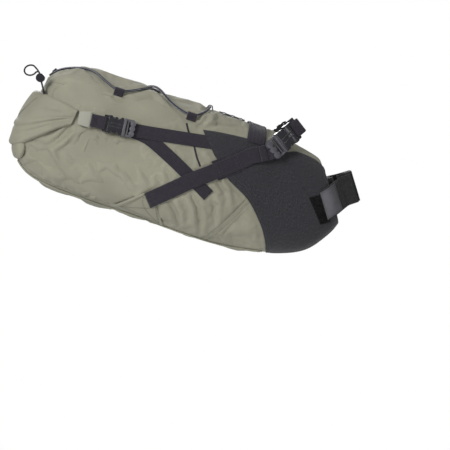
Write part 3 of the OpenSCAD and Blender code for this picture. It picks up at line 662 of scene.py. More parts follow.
def grid_parts(points, uv, closed, base=0, flip=False):
    """Faces and loop UVs of a grid. A closed grid joins its last column to its first, and
    its UVs have one column more."""
    rows, cols = points.shape[:2]
    if uv is None:
        wrap = np.concatenate([points, points[:, :1]], 1) if closed else points
        uv = measured(wrap)
    i, j = np.meshgrid(np.arange(rows - 1), np.arange(cols if closed else cols - 1),
                       indexing="ij")
    i, j = i.ravel(), j.ravel()
    corners = [(i, j), (i, j + 1), (i + 1, j + 1), (i + 1, j)]
    if flip:
        corners = corners[::-1]
    faces = np.stack([base + a * cols + b % cols for a, b in corners], -1)
    loops = np.stack([uv[a, b] for a, b in corners], 1)
    return faces.tolist(), loops.reshape(-1, 2)


def grid_mesh(name, points, material, uv=None, closed=False):
    faces, loops = grid_parts(points, uv, closed)
    return mesh_object(name, points.reshape(-1, 3), faces, material, loops)


def tube_mesh(name, rings, material, uv=None):
    """Closed rings of points, with a flat face over each end."""
    faces, loops = grid_parts(rings, uv, True)
    rows, cols = rings.shape[:2]
    first, last = list(range(cols)), list(range((rows - 1) * cols, rows * cols))
    faces += [first[::-1], last]
    loops = np.concatenate([loops, np.zeros((2 * cols, 2))])
    obj = mesh_object(name, rings.reshape(-1, 3), faces, material, loops)
    for k in (-1, -2):
        obj.data.polygons[len(obj.data.polygons) + k].use_smooth = False
    return obj


def sheet_mesh(name, points, normals, thick, material, uv=None):
    """A sheet with a rounded edge: an outer grid, an inner grid and a rim between them.
    points is its middle in millimetres in the bag's frame."""
    rows, cols = points.shape[:2]
    outer, inner = points + normals * thick / 2, points - normals * thick / 2
    loop = ([(0, j) for j in range(cols)] + [(i, cols - 1) for i in range(1, rows)]
            + [(rows - 1, j) for j in range(cols - 2, -1, -1)]
            + [(i, 0) for i in range(rows - 2, 0, -1)])
    li, lj = np.array(loop).T
    if uv is None:
        uv = measured(points * MM)
    faces, loops = grid_parts(outer, uv, False)
    more, loops2 = grid_parts(inner, uv, False, rows * cols, True)
    centre = points.mean((0, 1))
    edge = points[li, lj]
    tangent = np.roll(edge, -1, 0) - np.roll(edge, 1, 0)
    out = unit(np.cross(tangent, normals[li, lj]) + 1e-9)
    out *= np.sign(np.einsum("ij,ij->i", out, edge - centre))[:, None]
    rim = edge + out * thick * 0.35
    count, size = rows * cols, len(loop)
    verts = np.concatenate([outer.reshape(-1, 3), inner.reshape(-1, 3), rim])
    top, low = li * cols + lj, count + li * cols + lj
    mid = 2 * count + np.arange(size)
    nxt = np.roll(np.arange(size), -1)
    rim_faces = np.concatenate([np.stack([top[nxt], top, mid, mid[nxt]], -1),
                                np.stack([mid[nxt], mid, low, low[nxt]], -1)])
    rim_uv = np.repeat(uv[li, lj][None], 2, 0).reshape(-1, 2)
    rim_loops = np.repeat(rim_uv, 4, 0)
    all_faces = faces + more + rim_faces.tolist()
    all_loops = np.concatenate([loops, loops2, rim_loops])
    obj = mesh_object(name, bag(verts), all_faces, material, all_loops)
    outward(obj)
    return obj


def outward(obj):
    bm = bmesh.new()
    bm.from_mesh(obj.data)
    bmesh.ops.recalc_face_normals(bm, faces=bm.faces)
    bm.to_mesh(obj.data)
    bm.free()


def strap_profile(width, thick):
    """Outline of a strap's cross-section, as distances across and heights."""
    r = thick / 2
    flat = np.linspace(-width / 2 + r, width / 2 - r, 11)
    top = [(s, r) for s in flat]
    arc = np.radians([60, 30, 0, -30, -60])
    right = [(width / 2 - r + r * math.cos(a), r * math.sin(a)) for a in arc]
    low = [(s, -r) for s in flat[::-1]]
    left = [(-width / 2 + r - r * math.cos(a), r * math.sin(a)) for a in arc[::-1]]
    return np.array(top + right + low + left)


def strap_uv(middle, profile):
    run = np.concatenate([[0], np.cumsum(np.linalg.norm(np.diff(middle, axis=0), axis=1))])
    across = np.concatenate([profile[:, 0], profile[:1, 0]])
    u, v = np.meshgrid(run, across + 50, indexing="ij")
    return np.stack([u, v], -1)


def flank_rings(route, steps, width, thick):
    """Rings of a strap that follows the right flank, and its middle line."""
    r = smooth(route, steps)
    way = unit(np.gradient(r[:, :2], axis=0))
    profile = strap_profile(width, thick)
    s, h = profile[:, 0], profile[:, 1]
    x = r[:, None, 0] - way[:, None, 1] * s
    z = r[:, None, 1] + way[:, None, 0] * s
    point, normal = on_side(x, z)
    return point + normal * (r[:, None, 2] + h)[..., None], on_side(r[:, 0], r[:, 1], r[:, 2])[0]


def path_rings(path, normals, width, thick):
    """Rings of a flat strap along points, with its face towards the normals."""
    path = np.asarray(path, float)
    tangent = unit(np.gradient(path, axis=0))
    side = unit(np.cross(normals, tangent))
    lift = np.cross(tangent, side)
    profile = strap_profile(width, thick)
    return (path[:, None] + side[:, None] * profile[None, :, :1]
            + lift[:, None] * profile[None, :, 1:])


def cord_rings(path, radius, sides, hint=(0, 0.3, 1)):
    path = np.asarray(path, float)
    tangent = unit(np.gradient(path, axis=0))
    normal = np.empty_like(path)
    n = np.cross(np.cross(tangent[0], hint), tangent[0])
    for k, t in enumerate(tangent):
        n = n - (n @ t) * t
        n = n / np.linalg.norm(n)
        normal[k] = n
    side = np.cross(tangent, normal)
    a = np.linspace(0, 2 * math.pi, sides, endpoint=False)
    return (path[:, None] + radius * (normal[:, None] * np.cos(a)[None, :, None]
                                      + side[:, None] * np.sin(a)[None, :, None]))


def cord_uv(path, sides):
    run = np.concatenate([[0], np.cumsum(np.linalg.norm(np.diff(path, axis=0), axis=1))])
    u, v = np.meshgrid(run, np.linspace(0, 1, sides + 1), indexing="ij")
    return np.stack([u, v], -1)


def make_cord(name, path, radius, material, place, sides=12, hint=(0, 0.3, 1)):
    rings = cord_rings(path, radius, sides, hint)
    obj = tube_mesh(name, place(rings), material, cord_uv(path, sides))
    outward(obj)
    return obj


def resample(path, pitch):
    path = np.asarray(path, float)
    run = np.concatenate([[0], np.cumsum(np.linalg.norm(np.diff(path, axis=0), axis=1))])
    count = max(int(round(run[-1] / pitch)), 1)
    marks = np.linspace(0, run[-1], count + 1)
    return np.stack([np.interp(marks, run, path[:, k]) for k in range(3)], -1)


def stitches(name, lines, material, place=bag, pitch=3.0, radius=0.32):
    """Short raised threads along lines of [points, normals], with gaps between them."""
    length = 0.68           # of the pitch
    verts, faces = [], []
    for path, normals in lines:
        path, normals = np.asarray(path, float), np.asarray(normals, float)
        marks = resample(path, pitch)
        run = np.linspace(0, 1, len(marks))
        old = np.linspace(0, 1, len(normals))
        nrm = unit(np.stack([np.interp(run, old, normals[:, k]) for k in range(3)], -1))
        for k in range(len(marks) - 1):
            a, b, n = marks[k], marks[k + 1], nrm[k]
            way = b - a
            start, end = a + way * (1 - length) / 2, b - way * (1 - length) / 2
            side = unit(np.cross(n, way))
            base = len(verts)
            for f, lift, wide in ((0, -0.3, 0.6), (0.25, 0.6, 1), (0.75, 0.6, 1), (1, -0.3, 0.6)):
                c = start + (end - start) * f + n * lift * radius
                for ca, sa in ((1, 0), (0.5, 0.8), (-0.5, 0.8), (-1, 0), (0, -0.8)):
                    verts.append(c + radius * wide * (side * ca + n * sa))
            for r in range(3):
                for q in range(5):
                    p, w = base + r * 5 + q, base + r * 5 + (q + 1) % 5
                    faces.append((p, w, w + 5, p + 5))
            faces.append(tuple(base + q for q in range(4, -1, -1)))
            faces.append(tuple(base + 15 + q for q in range(5)))
    obj = mesh_object(name, place(np.array(verts)), faces, material)
    outward(obj)
    return obj


def softened(node, name, material, width, angle=35, segments=2, frame_angle=0.0):
    """A copy of a CAD node with its flat faces joined and its edges rounded."""
    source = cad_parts[node].data
    bm = bmesh.new()
    bm.from_mesh(source)
    bmesh.ops.remove_doubles(bm, verts=bm.verts, dist=2e-6)
    bmesh.ops.dissolve_limit(bm, angle_limit=math.radians(4), verts=bm.verts, edges=bm.edges)
    mesh = bpy.data.meshes.new(name)
    bm.to_mesh(mesh)
    bm.free()
    mesh.materials.clear()
    obj = bpy.data.objects.new(name, mesh)
    bpy.context.scene.collection.objects.link(obj)
    bevel = obj.modifiers.new("round", "BEVEL")
    bevel.width, bevel.segments = width * MM, segments
    bevel.limit_method, bevel.angle_limit = "ANGLE", math.radians(angle)
    bevel.harden_normals = False
    dg = bpy.context.evaluated_depsgraph_get()
    final = bpy.data.meshes.new_from_object(obj.evaluated_get(dg))
    final.name = name
    obj.modifiers.clear()
    obj.data = final
    final.materials.clear()
    final.materials.append(M[material])
    final.polygons.foreach_set("use_smooth", [True] * len(final.polygons))
    final.set_sharp_from_angle(angle=math.radians(40))
    box_uv(final, frame_angle)
    return obj


def box_uv(mesh, angle):
    """Millimetre UVs from the two directions that each face lies along."""
    co = np.zeros(len(mesh.vertices) * 3)
    mesh.vertices.foreach_get("co", co)
    co = turned(co.reshape(-1, 3), -angle) / MM
    corner = np.zeros(len(mesh.loops), int)
    mesh.loops.foreach_get("vertex_index", corner)
    normals = np.zeros(len(mesh.polygons) * 3)
    mesh.polygons.foreach_get("normal", normals)
    axis = np.abs(turned(normals.reshape(-1, 3), -angle)).argmax(1)
    totals = np.zeros(len(mesh.polygons), int)
    mesh.polygons.foreach_get("loop_total", totals)
    axis = np.repeat(axis, totals)
    p = co[corner]
    uv = np.where((axis == 0)[:, None], p[:, [1, 2]],
                  np.where((axis == 1)[:, None], p[:, [0, 2]], p[:, [0, 1]]))
    layer = mesh.uv_layers[0] if mesh.uv_layers else mesh.uv_layers.new(name="UVMap")
    layer.data.foreach_set("uv", uv.astype(np.float32).reshape(-1))


def on_left(obj, name):
    """A mirror-image copy for the left side."""
    mesh = obj.data.copy()
    mesh.name = name
    mesh.transform(Matrix.Scale(-1, 4, (0, 1, 0)))
    mesh.flip_normals()
    copy = bpy.data.objects.new(name, mesh)
    bpy.context.scene.collection.objects.link(copy)
    return copy


def settle(obj, body, slot, *nodes):
    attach(obj, body)
    if nodes:
        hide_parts(*nodes)
    return obj


def pair(obj, body, slot, *nodes):
    """Settles a right-hand piece and its mirror image. Names hold {} where the side goes."""
    name = obj.name
    left = on_left(obj, name + "_left")
    obj.name = name + "_right"
    both = []
    for piece, hand in ((obj, "right"), (left, "left")):
        both.append(settle(piece, body.format(hand), slot, *[n.format(hand) for n in nodes]))
    return both


def blended_pair(obj, child, slot, start, end, *nodes):
    """Mirrors a strap that runs from the bag to a plug, bakes the transforms of both pieces and hides
    the CAD nodes they stand for. start and end are not used.
    """
    name = obj.name
    left = on_left(obj, name + "_left")
    obj.name = name + "_right"
    for piece, hand, flip in ((obj, "right", 1), (left, "left", -1)):
        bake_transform(piece)
        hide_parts(*[n.format(hand) for n in nodes])


# ------------------------------------------------------------------ the shell

PANEL_BOTTOM = -78


def edge_on_skin(path):
    p = smooth(path, 60)
    u = find_u(p[:, 0], p[:, 1])
    return u, find_angle(u, p[:, 0], p[:, 1])


REAR_U, REAR_ANGLE = edge_on_skin(PANEL_REAR)
TOP_U, TOP_ANGLE = edge_on_skin(PANEL_TOP)


def under_panels():
    """From 0, bare, to 1, well under a side panel, for each point of the shell."""
    angle = 90 - np.abs((A_GRID + 90) % 360 - 180)
    past_rear = U_GRID - np.interp(angle, REAR_ANGLE, REAR_U)
    below_top = np.interp(U_GRID, TOP_U, TOP_ANGLE) - angle
    return np.clip(past_rear / 0.15, 0, 1) * np.clip(below_top / 6, 0, 1)


def eased(field, rounds):
    """A field over the shell with each point averaged with its neighbours, round by round."""
    for _ in range(rounds):
        across = np.roll(field, 1, 1) + np.roll(field, -1, 1)
        ahead = np.concatenate([field[1:], field[-1:]]) + np.concatenate([field[:1], field[:-1]])
        field = field / 2 + (across + ahead) / 8
    return field


HELD = held_down()
CLOTH = BASE + BASE_N * (relief() * (1 - HELD))[..., None]
CLOTH = puffed(CLOTH, np.clip(HELD * 1.3, 0.05, 1))
COVERED = under_panels()[..., None]


def calmed(points):
    """Under the side panels, fabric free of small creases and the same on both sides."""
    swell = eased(points - BASE, 90)
    other_hand = (COLS // 2 - np.arange(COLS)) % COLS
    swell = np.where(BASE[..., 1:2] > 0, swell[:, other_hand] * (1, -1, 1), swell)
    return points * (1 - COVERED) + (BASE + swell) * COVERED


CLOTH = calmed(CLOTH)


def cloth_at(u, angle, off=0.0):
    """A point on the finished shell, or a distance over it, in millimetres."""
    u, angle = np.broadcast_arrays(np.asarray(u, float), np.asarray(angle, float))
    r = np.interp(u, US, np.arange(ROWS + 1))
    c = np.interp(angle % 360, ANGLES, np.arange(COLS + 1))
    i, j = np.minimum(r.astype(int), ROWS - 1), np.minimum(c.astype(int), COLS - 1)
    fr, fc = (r - i)[..., None], (c - j)[..., None]
    k = (j + 1) % COLS
    near = CLOTH[i, j] * (1 - fc) + CLOTH[i, k] * fc
    far = CLOTH[i + 1, j] * (1 - fc) + CLOTH[i + 1, k] * fc
    return near * (1 - fr) + far * fr + skin_normal(u, angle) * np.asarray(off)[..., None]


def fabric_at(x, z, off=0.0):
    """As cloth_at, from the side view's x and z, on the right side, with the normal."""
    x, z = np.broadcast_arrays(np.asarray(x, float), np.asarray(z, float))
    u = find_u(x, z)
    angle = find_angle(u, x, z)
    return cloth_at(u, angle, off), skin_normal(u, angle)


def make_shell():
    """Outside of the bag, then round the mouth's turned-in hem and back along the inside."""
    inside_u = np.linspace(LAST, 0.02, 40)[:, None]
    angles = ANGLES[None, :-1]
    inside = skin(inside_u, angles, -1.5) - np.array([1.0, 0, 0])
    hem = [CLOTH[0] * (1 - f) + inside[-1] * f - np.array([1.1, 0, 0]) * bow
           for f, bow in ((0.7, 0.8), (0.3, 0.8))]
    outside = CLOTH - BASE_N * 0.8 * COVERED
    rings = np.concatenate([inside[:1] * 0.55 + inside[:1].mean(1, keepdims=True) * 0.45,
                            inside, np.array(hem), outside])
    nose = CLOTH[-1:]
    middle = nose.mean(1, keepdims=True)
    push = np.array([0.84, 0, 0.54]) * 2.0
    caps = [middle + (nose - middle) * f + push * (1 - f) for f in (0.8, 0.5, 0.2)]
    rings = np.concatenate([rings, *caps])
    obj = tube_mesh("bag_shell", bag(rings), "shell")
    outward(obj)
    settle(obj, "bag", "shell_fabric", "shell_side_right", "shell_side_left",
                     "shell_top", "shell_floor", "shell_nose")


def panel_place(i, j):
    """u and angle at fractions i, to the nose, and j, to the top."""
    corner = TOP_U[0]
    top = np.interp(corner + (LAST - 0.05 - corner) * i, TOP_U, TOP_ANGLE)
    angle = PANEL_BOTTOM + (top - PANEL_BOTTOM) * j
    at_rear = PANEL_BOTTOM + (TOP_ANGLE[0] - PANEL_BOTTOM) * j
    rear = np.interp(at_rear, REAR_ANGLE, REAR_U)
    return rear + (LAST - 0.05 - rear) * i, angle


def even_heights(count, top):
    """Fractions of a panel's height that space points evenly up the side."""
    table = np.concatenate([ANGLES[:-1] - 360, ANGLES])
    marks = np.arange(len(table))
    ends = np.interp([PANEL_BOTTOM, top], table, marks)
    angles = np.interp(np.linspace(*ends, count), marks, table)
    return (angles - PANEL_BOTTOM) / (top - PANEL_BOTTOM)


def make_side_panels():
    i, j = np.meshgrid(np.linspace(0, 1, 64), even_heights(72, 45), indexing="ij")
    u, angle = panel_place(i, j)
    normals = skin_normal(u, angle)
    edge = np.minimum.reduce([i * 64 / 2.5, j * 72 / 2.5, (1 - j) * 72 / 2.5])
    height = 1.25 + 0.35 * np.exp(-(edge - 1.0) ** 2) - 0.25 * np.exp(-((edge - 2.2) / 0.5) ** 2)
    base = skin(u, angle)
    over_strap = np.exp(-((np.hypot(base[..., 0] + 228, base[..., 2] - 4) / 13) ** 4))
    height = height + 1.4 * over_strap
    obj = sheet_mesh("side_panel", cloth_at(u, angle, height), normals, 1.0, "panel")
    pair(obj, "bag", "panel_fabric", "side_panel_{}")

    lines = []
    f = np.linspace(0.02, 0.98, 80)
    for inset in (0.018, 0.034):
        for at in ((np.full(80, inset), f), (f, np.full(80, 1 - inset * 0.8)),
                   (f, np.full(80, inset * 0.8))):
            u, angle = panel_place(*at)
            lines.append((cloth_at(u, angle, 1.9), skin_normal(u, angle)))
    pair(stitches("panel_stitching", lines, "black_thread"), "bag", "panel_fabric")

    u, angle = np.meshgrid(np.linspace(8.7, LAST - 0.1, 40), np.linspace(258.5, 281.5, 24),
                           indexing="ij")
    obj = sheet_mesh("floor_panel", cloth_at(u, angle, 1.2), skin_normal(u, angle), 1.0, "panel")
    settle(obj, "bag", "panel_fabric", "bottom_panel")


def seam_line(name, path, width, lift, material, slot, *nodes):
    """A narrow raised seam that follows the fabric on both sides."""
    points = resample(on_flank(path), 2.0)
    centre, normal = fabric_at(points[:, 0], points[:, 2], lift)
    rings = path_rings(centre, normal, width, 0.7)
    obj = tube_mesh(name, bag(rings), material)
    outward(obj)
    return pair(obj, "bag", slot, *nodes)


def make_seams():
    # piping along the bottom edge
    u = np.linspace(1.2, 8.4, 150)
    path = cloth_at(u, np.full(150, 288.0), 1.5)
    right = make_cord("bottom_piping_right", path, 1.3, "shell", bag, 10, (0, 1, 0))
    left = on_left(right, "bottom_piping_left")
    settle(right, "bag", "shell_fabric", "bottom_piping")
    settle(left, "bag", "shell_fabric", "bottom_piping")

    seam = seam_line("seam_binding", SEAM, 2.9, 0.45, "web", "webbing")
    for piece in seam:
        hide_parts("seam_binding")

    # the dart in front of the anchor, sewn down with a thread on each side of it
    seam_line("dart_seam", DART, 2.6, 0.25, "shell", "shell_fabric")
    sewn = []
    dart = resample(on_flank(DART), 3.0)
    for shift in (-3.6, 3.6):
        p, n = fabric_at(dart[:, 0] + shift, dart[:, 2] - shift * 0.4, 0.15)
        sewn.append((p, n))
    # the seam between the side and the top, from the roll to the first cord tab
    ridge = [(-491, 16), (-470, 21), (-445, 22), (-420, 25), (-392, 27)]
    seam_line("top_seam", ridge, 2.4, 0.2, "shell", "shell_fabric")
    top = resample(on_flank(ridge), 3.0)
    p, n = fabric_at(top[:, 0], top[:, 2] - 3.2, 0.15)
    sewn.append((p, n))
    low = on_flank([(-500, -126), (-470, -137), (-440, -141), (-400, -143.5), (-345, -143)])
    low = resample(low, 3.0)
    p, n = fabric_at(low[:, 0], low[:, 2] + 4, 0.15)
    sewn.append((p, n))
    pair(stitches("seam_stitching", sewn, "green_thread"), "bag", "shell_fabric")


# ------------------------------------------------------------------ roll-top closure

# Plan of the roll, from the right end tab to the rear: x, y, z, height
ROLL_PLAN = np.array([
    [-441, -88.5, -26, 24], [-462, -89, -32, 44], [-485, -83, -41, 66],
    [-506, -68, -49, 84], [-520, -38, -53, 91], [-524, 0, -54, 92]], float)


def roll_place(t):
    """Middle, half height and outward direction of the roll at t, from 0 to 10."""
    def point(t):
        p = along(ROLL_PLAN, np.where(t <= 5, t, 10 - t))
        p[..., 1] *= np.where(t <= 5, 1, -1)
        return p
    p, ahead, behind = point(t), point(t + 0.06), point(t - 0.06)
    way = unit((ahead - behind)[..., :2])
    out = np.stack([-way[..., 1], way[..., 0], np.zeros_like(way[..., 0])], -1)
    return p[..., :3], p[..., 3] / 2, out


HEM_T, HEM_V = [3.9, 4.0, 4.4, 5.0], [1.3, 0.98, 0.55, 0.25]
SEWN_T, SEWN_V = [3.0, 3.15, 3.6, 4.3, 5.0], [1.2, 0.93, 0.45, 0.02, -0.12]


def roll_swell(t, v, half):
    """How far the roll's face stands out: long folds that fan from the end tab, and the hem
    of the outer wrap, which lies back on the layer inside it."""
    near = 5 - np.hypot(t - 5, 0.45)
    other = np.clip(t - 4.5, 0, 1)
    out = 3.0 * (1 - v ** 2) * np.clip(near / 3, 0, 1)
    for v0, slope, depth, first, last in ((-0.26, -0.035, 2.5, 0.15, 9), (-0.03, 0.015, 1.7, 0.1, 2.3),
                                          (0.42, 0.02, 1.2, 0.5, 3.0), (-0.66, 0.0, 1.3, 1.2, 4.2)):
        line = v0 + slope * near + 0.07 * other
        d = (v - line) * half
        fade = np.clip((near - first) / 0.7, 0, 1) * np.clip((last - near) / 0.9, 0, 1)
        size = depth * (1 - 0.15 * other) * fade
        out += size * (np.exp(-((d - 5.5) / 6) ** 2) - 0.75 * np.exp(-(d / 2.0) ** 2)
                       + 0.25 * np.exp(-((d + 6) / 5) ** 2))
    past_hem = (v - np.interp(near, HEM_T, HEM_V)) * half
    past_sewn = (v - np.interp(near, SEWN_T, SEWN_V)) * half
    hem = np.clip(past_sewn / 1.2, 0, 1) * np.clip(1 - past_hem / 1.2, 0, 1)
    return out + 0.9 * hem - 2.6 * np.clip(past_hem / 1.5, 0, 1) - 0.5 * np.exp(-(past_sewn / 1.0) ** 2)


def roll_profile(half):
    """Sections of the wrap, from inside its top fold, down its face, to inside its lower
    fold: distance out, height, and v on the face."""
    r = np.minimum(5.5, half * 0.3)
    o, h, v = [], [], []
    for a in np.radians(np.linspace(165, 8, 12)):
        o.append(-r + r * math.cos(a))
        h.append(half - r + r * math.sin(a))
        v.append(np.ones_like(half))
    for f in np.linspace(0, 1, 44):
        top, low = half - r, r - half
        o.append(np.zeros_like(half))
        h.append(top + (low - top) * f)
        v.append((1 - 2 * f) * np.ones_like(half))
    for a in np.radians(np.linspace(-8, -215, 16)):
        o.append(-r + r * math.cos(a))
        h.append(-half + r + r * math.sin(a))
        v.append(-np.ones_like(half))
    return np.stack(o, -1), np.stack(h, -1), np.stack(v, -1)


def make_roll():
    t = np.linspace(0, 10, 230)
    p, half, out = roll_place(t)
    o, h, v = roll_profile(half)
    swell = roll_swell(t[:, None], v, half[:, None])
    swell *= np.where(np.abs(v) == 1, np.clip(1 + o / 4, 0, 1), 1)
    points = (p[:, None] + out[:, None] * (o + swell)[..., None])
    points[..., 2] += h
    points[..., 0] += 0.12 * h
    du, dv = np.gradient(points, axis=0), np.gradient(points, axis=1)
    normals = unit(np.cross(du, dv))
    normals *= np.sign(np.einsum("ijk,ik->ij", normals, out)[:, 30])[:, None, None]
    obj = sheet_mesh("roll_wrap", points, normals, 1.6, "shell")
    settle(obj, "bag", "shell_fabric", "roll_outer_layer")

    lines = []
    for offset in (0.0, 2.2):
        for first, last in ((3.05, 5.0), (5.0, 6.95)):
            ts = np.linspace(first, last, 60)
            close = 5 - np.hypot(ts - 5, 0.45)
            p, half, out = roll_place(ts)
            v = np.interp(close, SEWN_T, SEWN_V) - offset / half
            keep = v < 0.95
            swell = roll_swell(ts, v, half)
            r = np.minimum(5.5, half * 0.3)
            f = (1 - v) / 2
            height = (half - r) + 2 * (r - half) * f
            q = p + out * (swell + 1.0)[:, None]
            q[:, 2] += height
            q[:, 0] += 0.12 * height
            lines.append((q[keep], out[keep]))
    settle(stitches("hem_stitching", lines, "green_thread"), "bag", "shell_fabric")

    # the layer inside: the rolled mouth's lower fold, seen end-on below the wrap
    rings = []
    around = np.linspace(0, 2 * np.pi, 56, endpoint=False)
    for f in np.linspace(-1, 1, 64):
        end = max(1 - abs(f) ** 7, 0.0) ** 0.5
        bow = 1 - f * f
        crease = 1 - 0.16 * np.exp(-((around - 4.0) / 0.16) ** 2) * (0.6 + 0.4 * math.sin(7 * f))
        out = (9.5 * np.cos(around) * crease * (0.25 + 0.75 * end))
        up = 20 * np.sin(around) * crease * (0.35 + 0.65 * end) + 0.5 * math.sin(11 * f)
        rings.append(np.stack([-504 - 10 * bow + out - 0.16 * up, np.full(56, 65 * f),
                               -97 - 2 * bow + up - 0.12 * out], -1))
    fold = tube_mesh("roll_inner_fold", bag(np.array(rings)), "shell")
    outward(fold)
    settle(fold, "bag", "shell_fabric", "roll_inner_layer")


def ellipse_loft(name, rings, material):
    obj = tube_mesh(name, bag(rings), material)
    outward(obj)
    return obj


def make_inside():
    """Dry bag and its rolled mouth, behind the shell's open end."""
    a = even_angles(96)[:-1][None]
    u_out, u_in = np.linspace(1.1, 10.6, 60)[:, None], np.linspace(10.5, 1.1, 24)[:, None]
    creased = 0.7 * np.sin(np.radians(a) * 14 + u_out * 3) * np.sin(u_out * 5)
    outer = skin(u_out, a, -4.6) - skin_normal(u_out, a) * np.abs(creased)[..., None] * 0.4
    inner = skin(u_in, a, -5.6)
    obj = ellipse_loft("dry_bag", np.concatenate([inner, outer]), "liner")
    settle(obj, "bag", "liner_fabric", "inner_dry_bag")
    rings = []
    for f in np.linspace(-1, 1, 40):
        k = np.linspace(0, 2 * np.pi, 40, endpoint=False)
        h, d = 14 + 12 * (1 - f * f), 5 + 2 * (1 - f * f)
        wave = 1 + 0.08 * np.sin(7 * k) + 0.05 * math.sin(19 * f)
        rings.append(np.stack([-496 + 6 * f * f + d * np.cos(k) * wave, np.full(40, 46 * f),
                               -58 + h * np.sin(k)], -1))
    settle(ellipse_loft("dry_bag_mouth", np.array(rings), "liner"), "bag", "liner_fabric",
           "inner_bag_roll")


# ------------------------------------------------------------------ straps and buckles


def axes(x_axis, z_hint):
    ex = unit(x_axis)
    ez = unit(np.asarray(z_hint, float) - (np.asarray(z_hint, float) @ ex) * ex)
    return np.stack([ex, np.cross(ez, ex), ez])


COMP_ANGLE = math.radians(6.4)
comp_point, comp_normal = on_side(-364.6, -17.9, 7.2)
COMP = (comp_point, axes([math.cos(COMP_ANGLE), 0, math.sin(COMP_ANGLE)], comp_normal))
RAIL = (np.array([-121, -61.2, 40.0]), axes([-0.472, -0.435, -0.787], [0.27, -0.91, 0.29]))
LOCK = (np.array([-511, -66, 15.0]), axes([0, 1, 0], [-0.53, 0, 0.848]))


def placed(frame_of):
    """Takes points of a buckle's own frame to the row frame."""
    origin, basis = frame_of
    return lambda p: bag(np.asarray(p, float) @ basis + origin)


def socket_end(w):
    return 1.15 * w + 8


def web_loop(name, centre_line, width, frame_of):
    """A closed loop of webbing. centre_line is its side view, x and z of the buckle's frame."""
    c = np.array(centre_line, float)
    n = len(c)
    way = unit(np.roll(c, -1, 0) - np.roll(c, 1, 0))
    profile = strap_profile(width, 1.4)
    rings = np.empty((n + 1, len(profile), 3))
    for k in range(n + 1):
        q = k % n
        out = np.array([way[q, 1], -way[q, 0]])
        rings[k, :, 0] = c[q, 0] + out[0] * profile[:, 1]
        rings[k, :, 1] = profile[:, 0]
        rings[k, :, 2] = c[q, 1] + out[1] * profile[:, 1]
    path = np.stack([np.append(c[:, 0], c[0, 0]), np.zeros(n + 1), np.append(c[:, 1], c[0, 1])], -1)
    uv = strap_uv(path, profile)
    faces, loops = grid_parts(rings, uv, True)
    cols = len(profile)
    faces = [[v % (n * cols) for v in f] for f in faces]
    obj = mesh_object(name, placed(frame_of)(rings[:-1]).reshape(-1, 3), faces, "web", loops)
    outward(obj)
    return obj


def rounded_line(points, steps=4, radius=1.2):
    """A closed line through points with its corners rounded."""
    p = np.array(points, float)
    out = []
    for k in range(len(p)):
        a, b, c = p[k - 1], p[k], p[(k + 1) % len(p)]
        before, after = unit(a - b), unit(c - b)
        r = min(radius, np.linalg.norm(a - b) / 2.1, np.linalg.norm(c - b) / 2.1)
        for f in np.linspace(0, 1, steps + 1):
            out.append((b + before * r) * (1 - f) ** 2 + 2 * b * f * (1 - f)
                       + (b + after * r) * f ** 2)
    line = np.array(out)
    closed = np.vstack([line, line[:1]])
    run = np.concatenate([[0], np.cumsum(np.linalg.norm(np.diff(closed, axis=0), axis=1))])
    marks = np.arange(0, run[-1], 1.6)
    return np.stack([np.interp(marks, run, closed[:, k]) for k in (0, 1)], -1)


def bars(name, boxes, frame_of, material):
    """Rounded bars in a buckle's frame: x from, x to, y middle, width, z base, height."""
    verts, faces = [], []
    for x0, x1, y, width, base, height in boxes:
        a = np.linspace(0, math.pi, 9)
        across = y + width / 2 * np.cos(a)
        up = base + height * np.sin(a) ** 0.7
        start = len(verts)
        for x, k in ((x0, 0.0), (x0 + 0.3 * height, 0.75), (x0 + height * 0.8, 1.0),
                     (x1 - height * 0.8, 1.0), (x1 - 0.3 * height, 0.75), (x1, 0.0)):
            for q in range(9):
                verts.append((x, y + (across[q] - y) * (0.7 + 0.3 * k), base + (up[q] - base) * k))
        for r in range(5):
            for q in range(8):
                v = start + r * 9 + q
                faces.append((v, v + 1, v + 10, v + 9))
            faces.append((start + r * 9 + 8, start + r * 9, start + r * 9 + 9, start + r * 9 + 17))
    obj = mesh_object(name, placed(frame_of)(np.array(verts)), faces, material)
    outward(obj)
    return obj


def make_buckle(prefix, w, frame_of, plug_body):
    t = 0.4 * w + 1.5
    length = 1.15 * w
    socket = softened(f"{prefix}_socket_right", f"{prefix}_socket", "socket", 0.9, 30, 3)
    pair(socket, "bag", "buckle_plastic", prefix + "_socket_{}")
    ribs = [(-length + 2, -2.5, k * w * 0.13, w * 0.09, t / 2 - 0.3, 1.1) for k in (-1, 1)]
    pair(bars(f"{prefix}_socket_ribs", ribs, frame_of, "socket"), "bag", "buckle_plastic")
    plug = softened(f"{prefix}_plug_right", f"{prefix}_plug", "plug", 0.6, 30, 2)
    pair(plug, plug_body, "adjuster_plastic", prefix + "_plug_{}")
    grips = []
    end, thumb = 0.85 * w, (w + 4) / 6
    for k in (-1, 0, 1):
        for step in (0.0, 1.7):
            grips.append((end - 3.4 + step, end - 2.2 + step, k * 2 * thumb, thumb * 1.5,
                          t / 2 + 0.2, 0.6))
    pair(bars(f"{prefix}_plug_grips", grips, frame_of, "plug"), plug_body, "adjuster_plastic")
    prongs = softened(f"{prefix}_prongs_right", f"{prefix}_prongs", "socket", 0.4, 30, 2)
    pair(prongs, plug_body, "buckle_plastic", prefix + "_prongs_{}")


def row_point(p):
    return tuple(bag(np.asarray(p, float)))


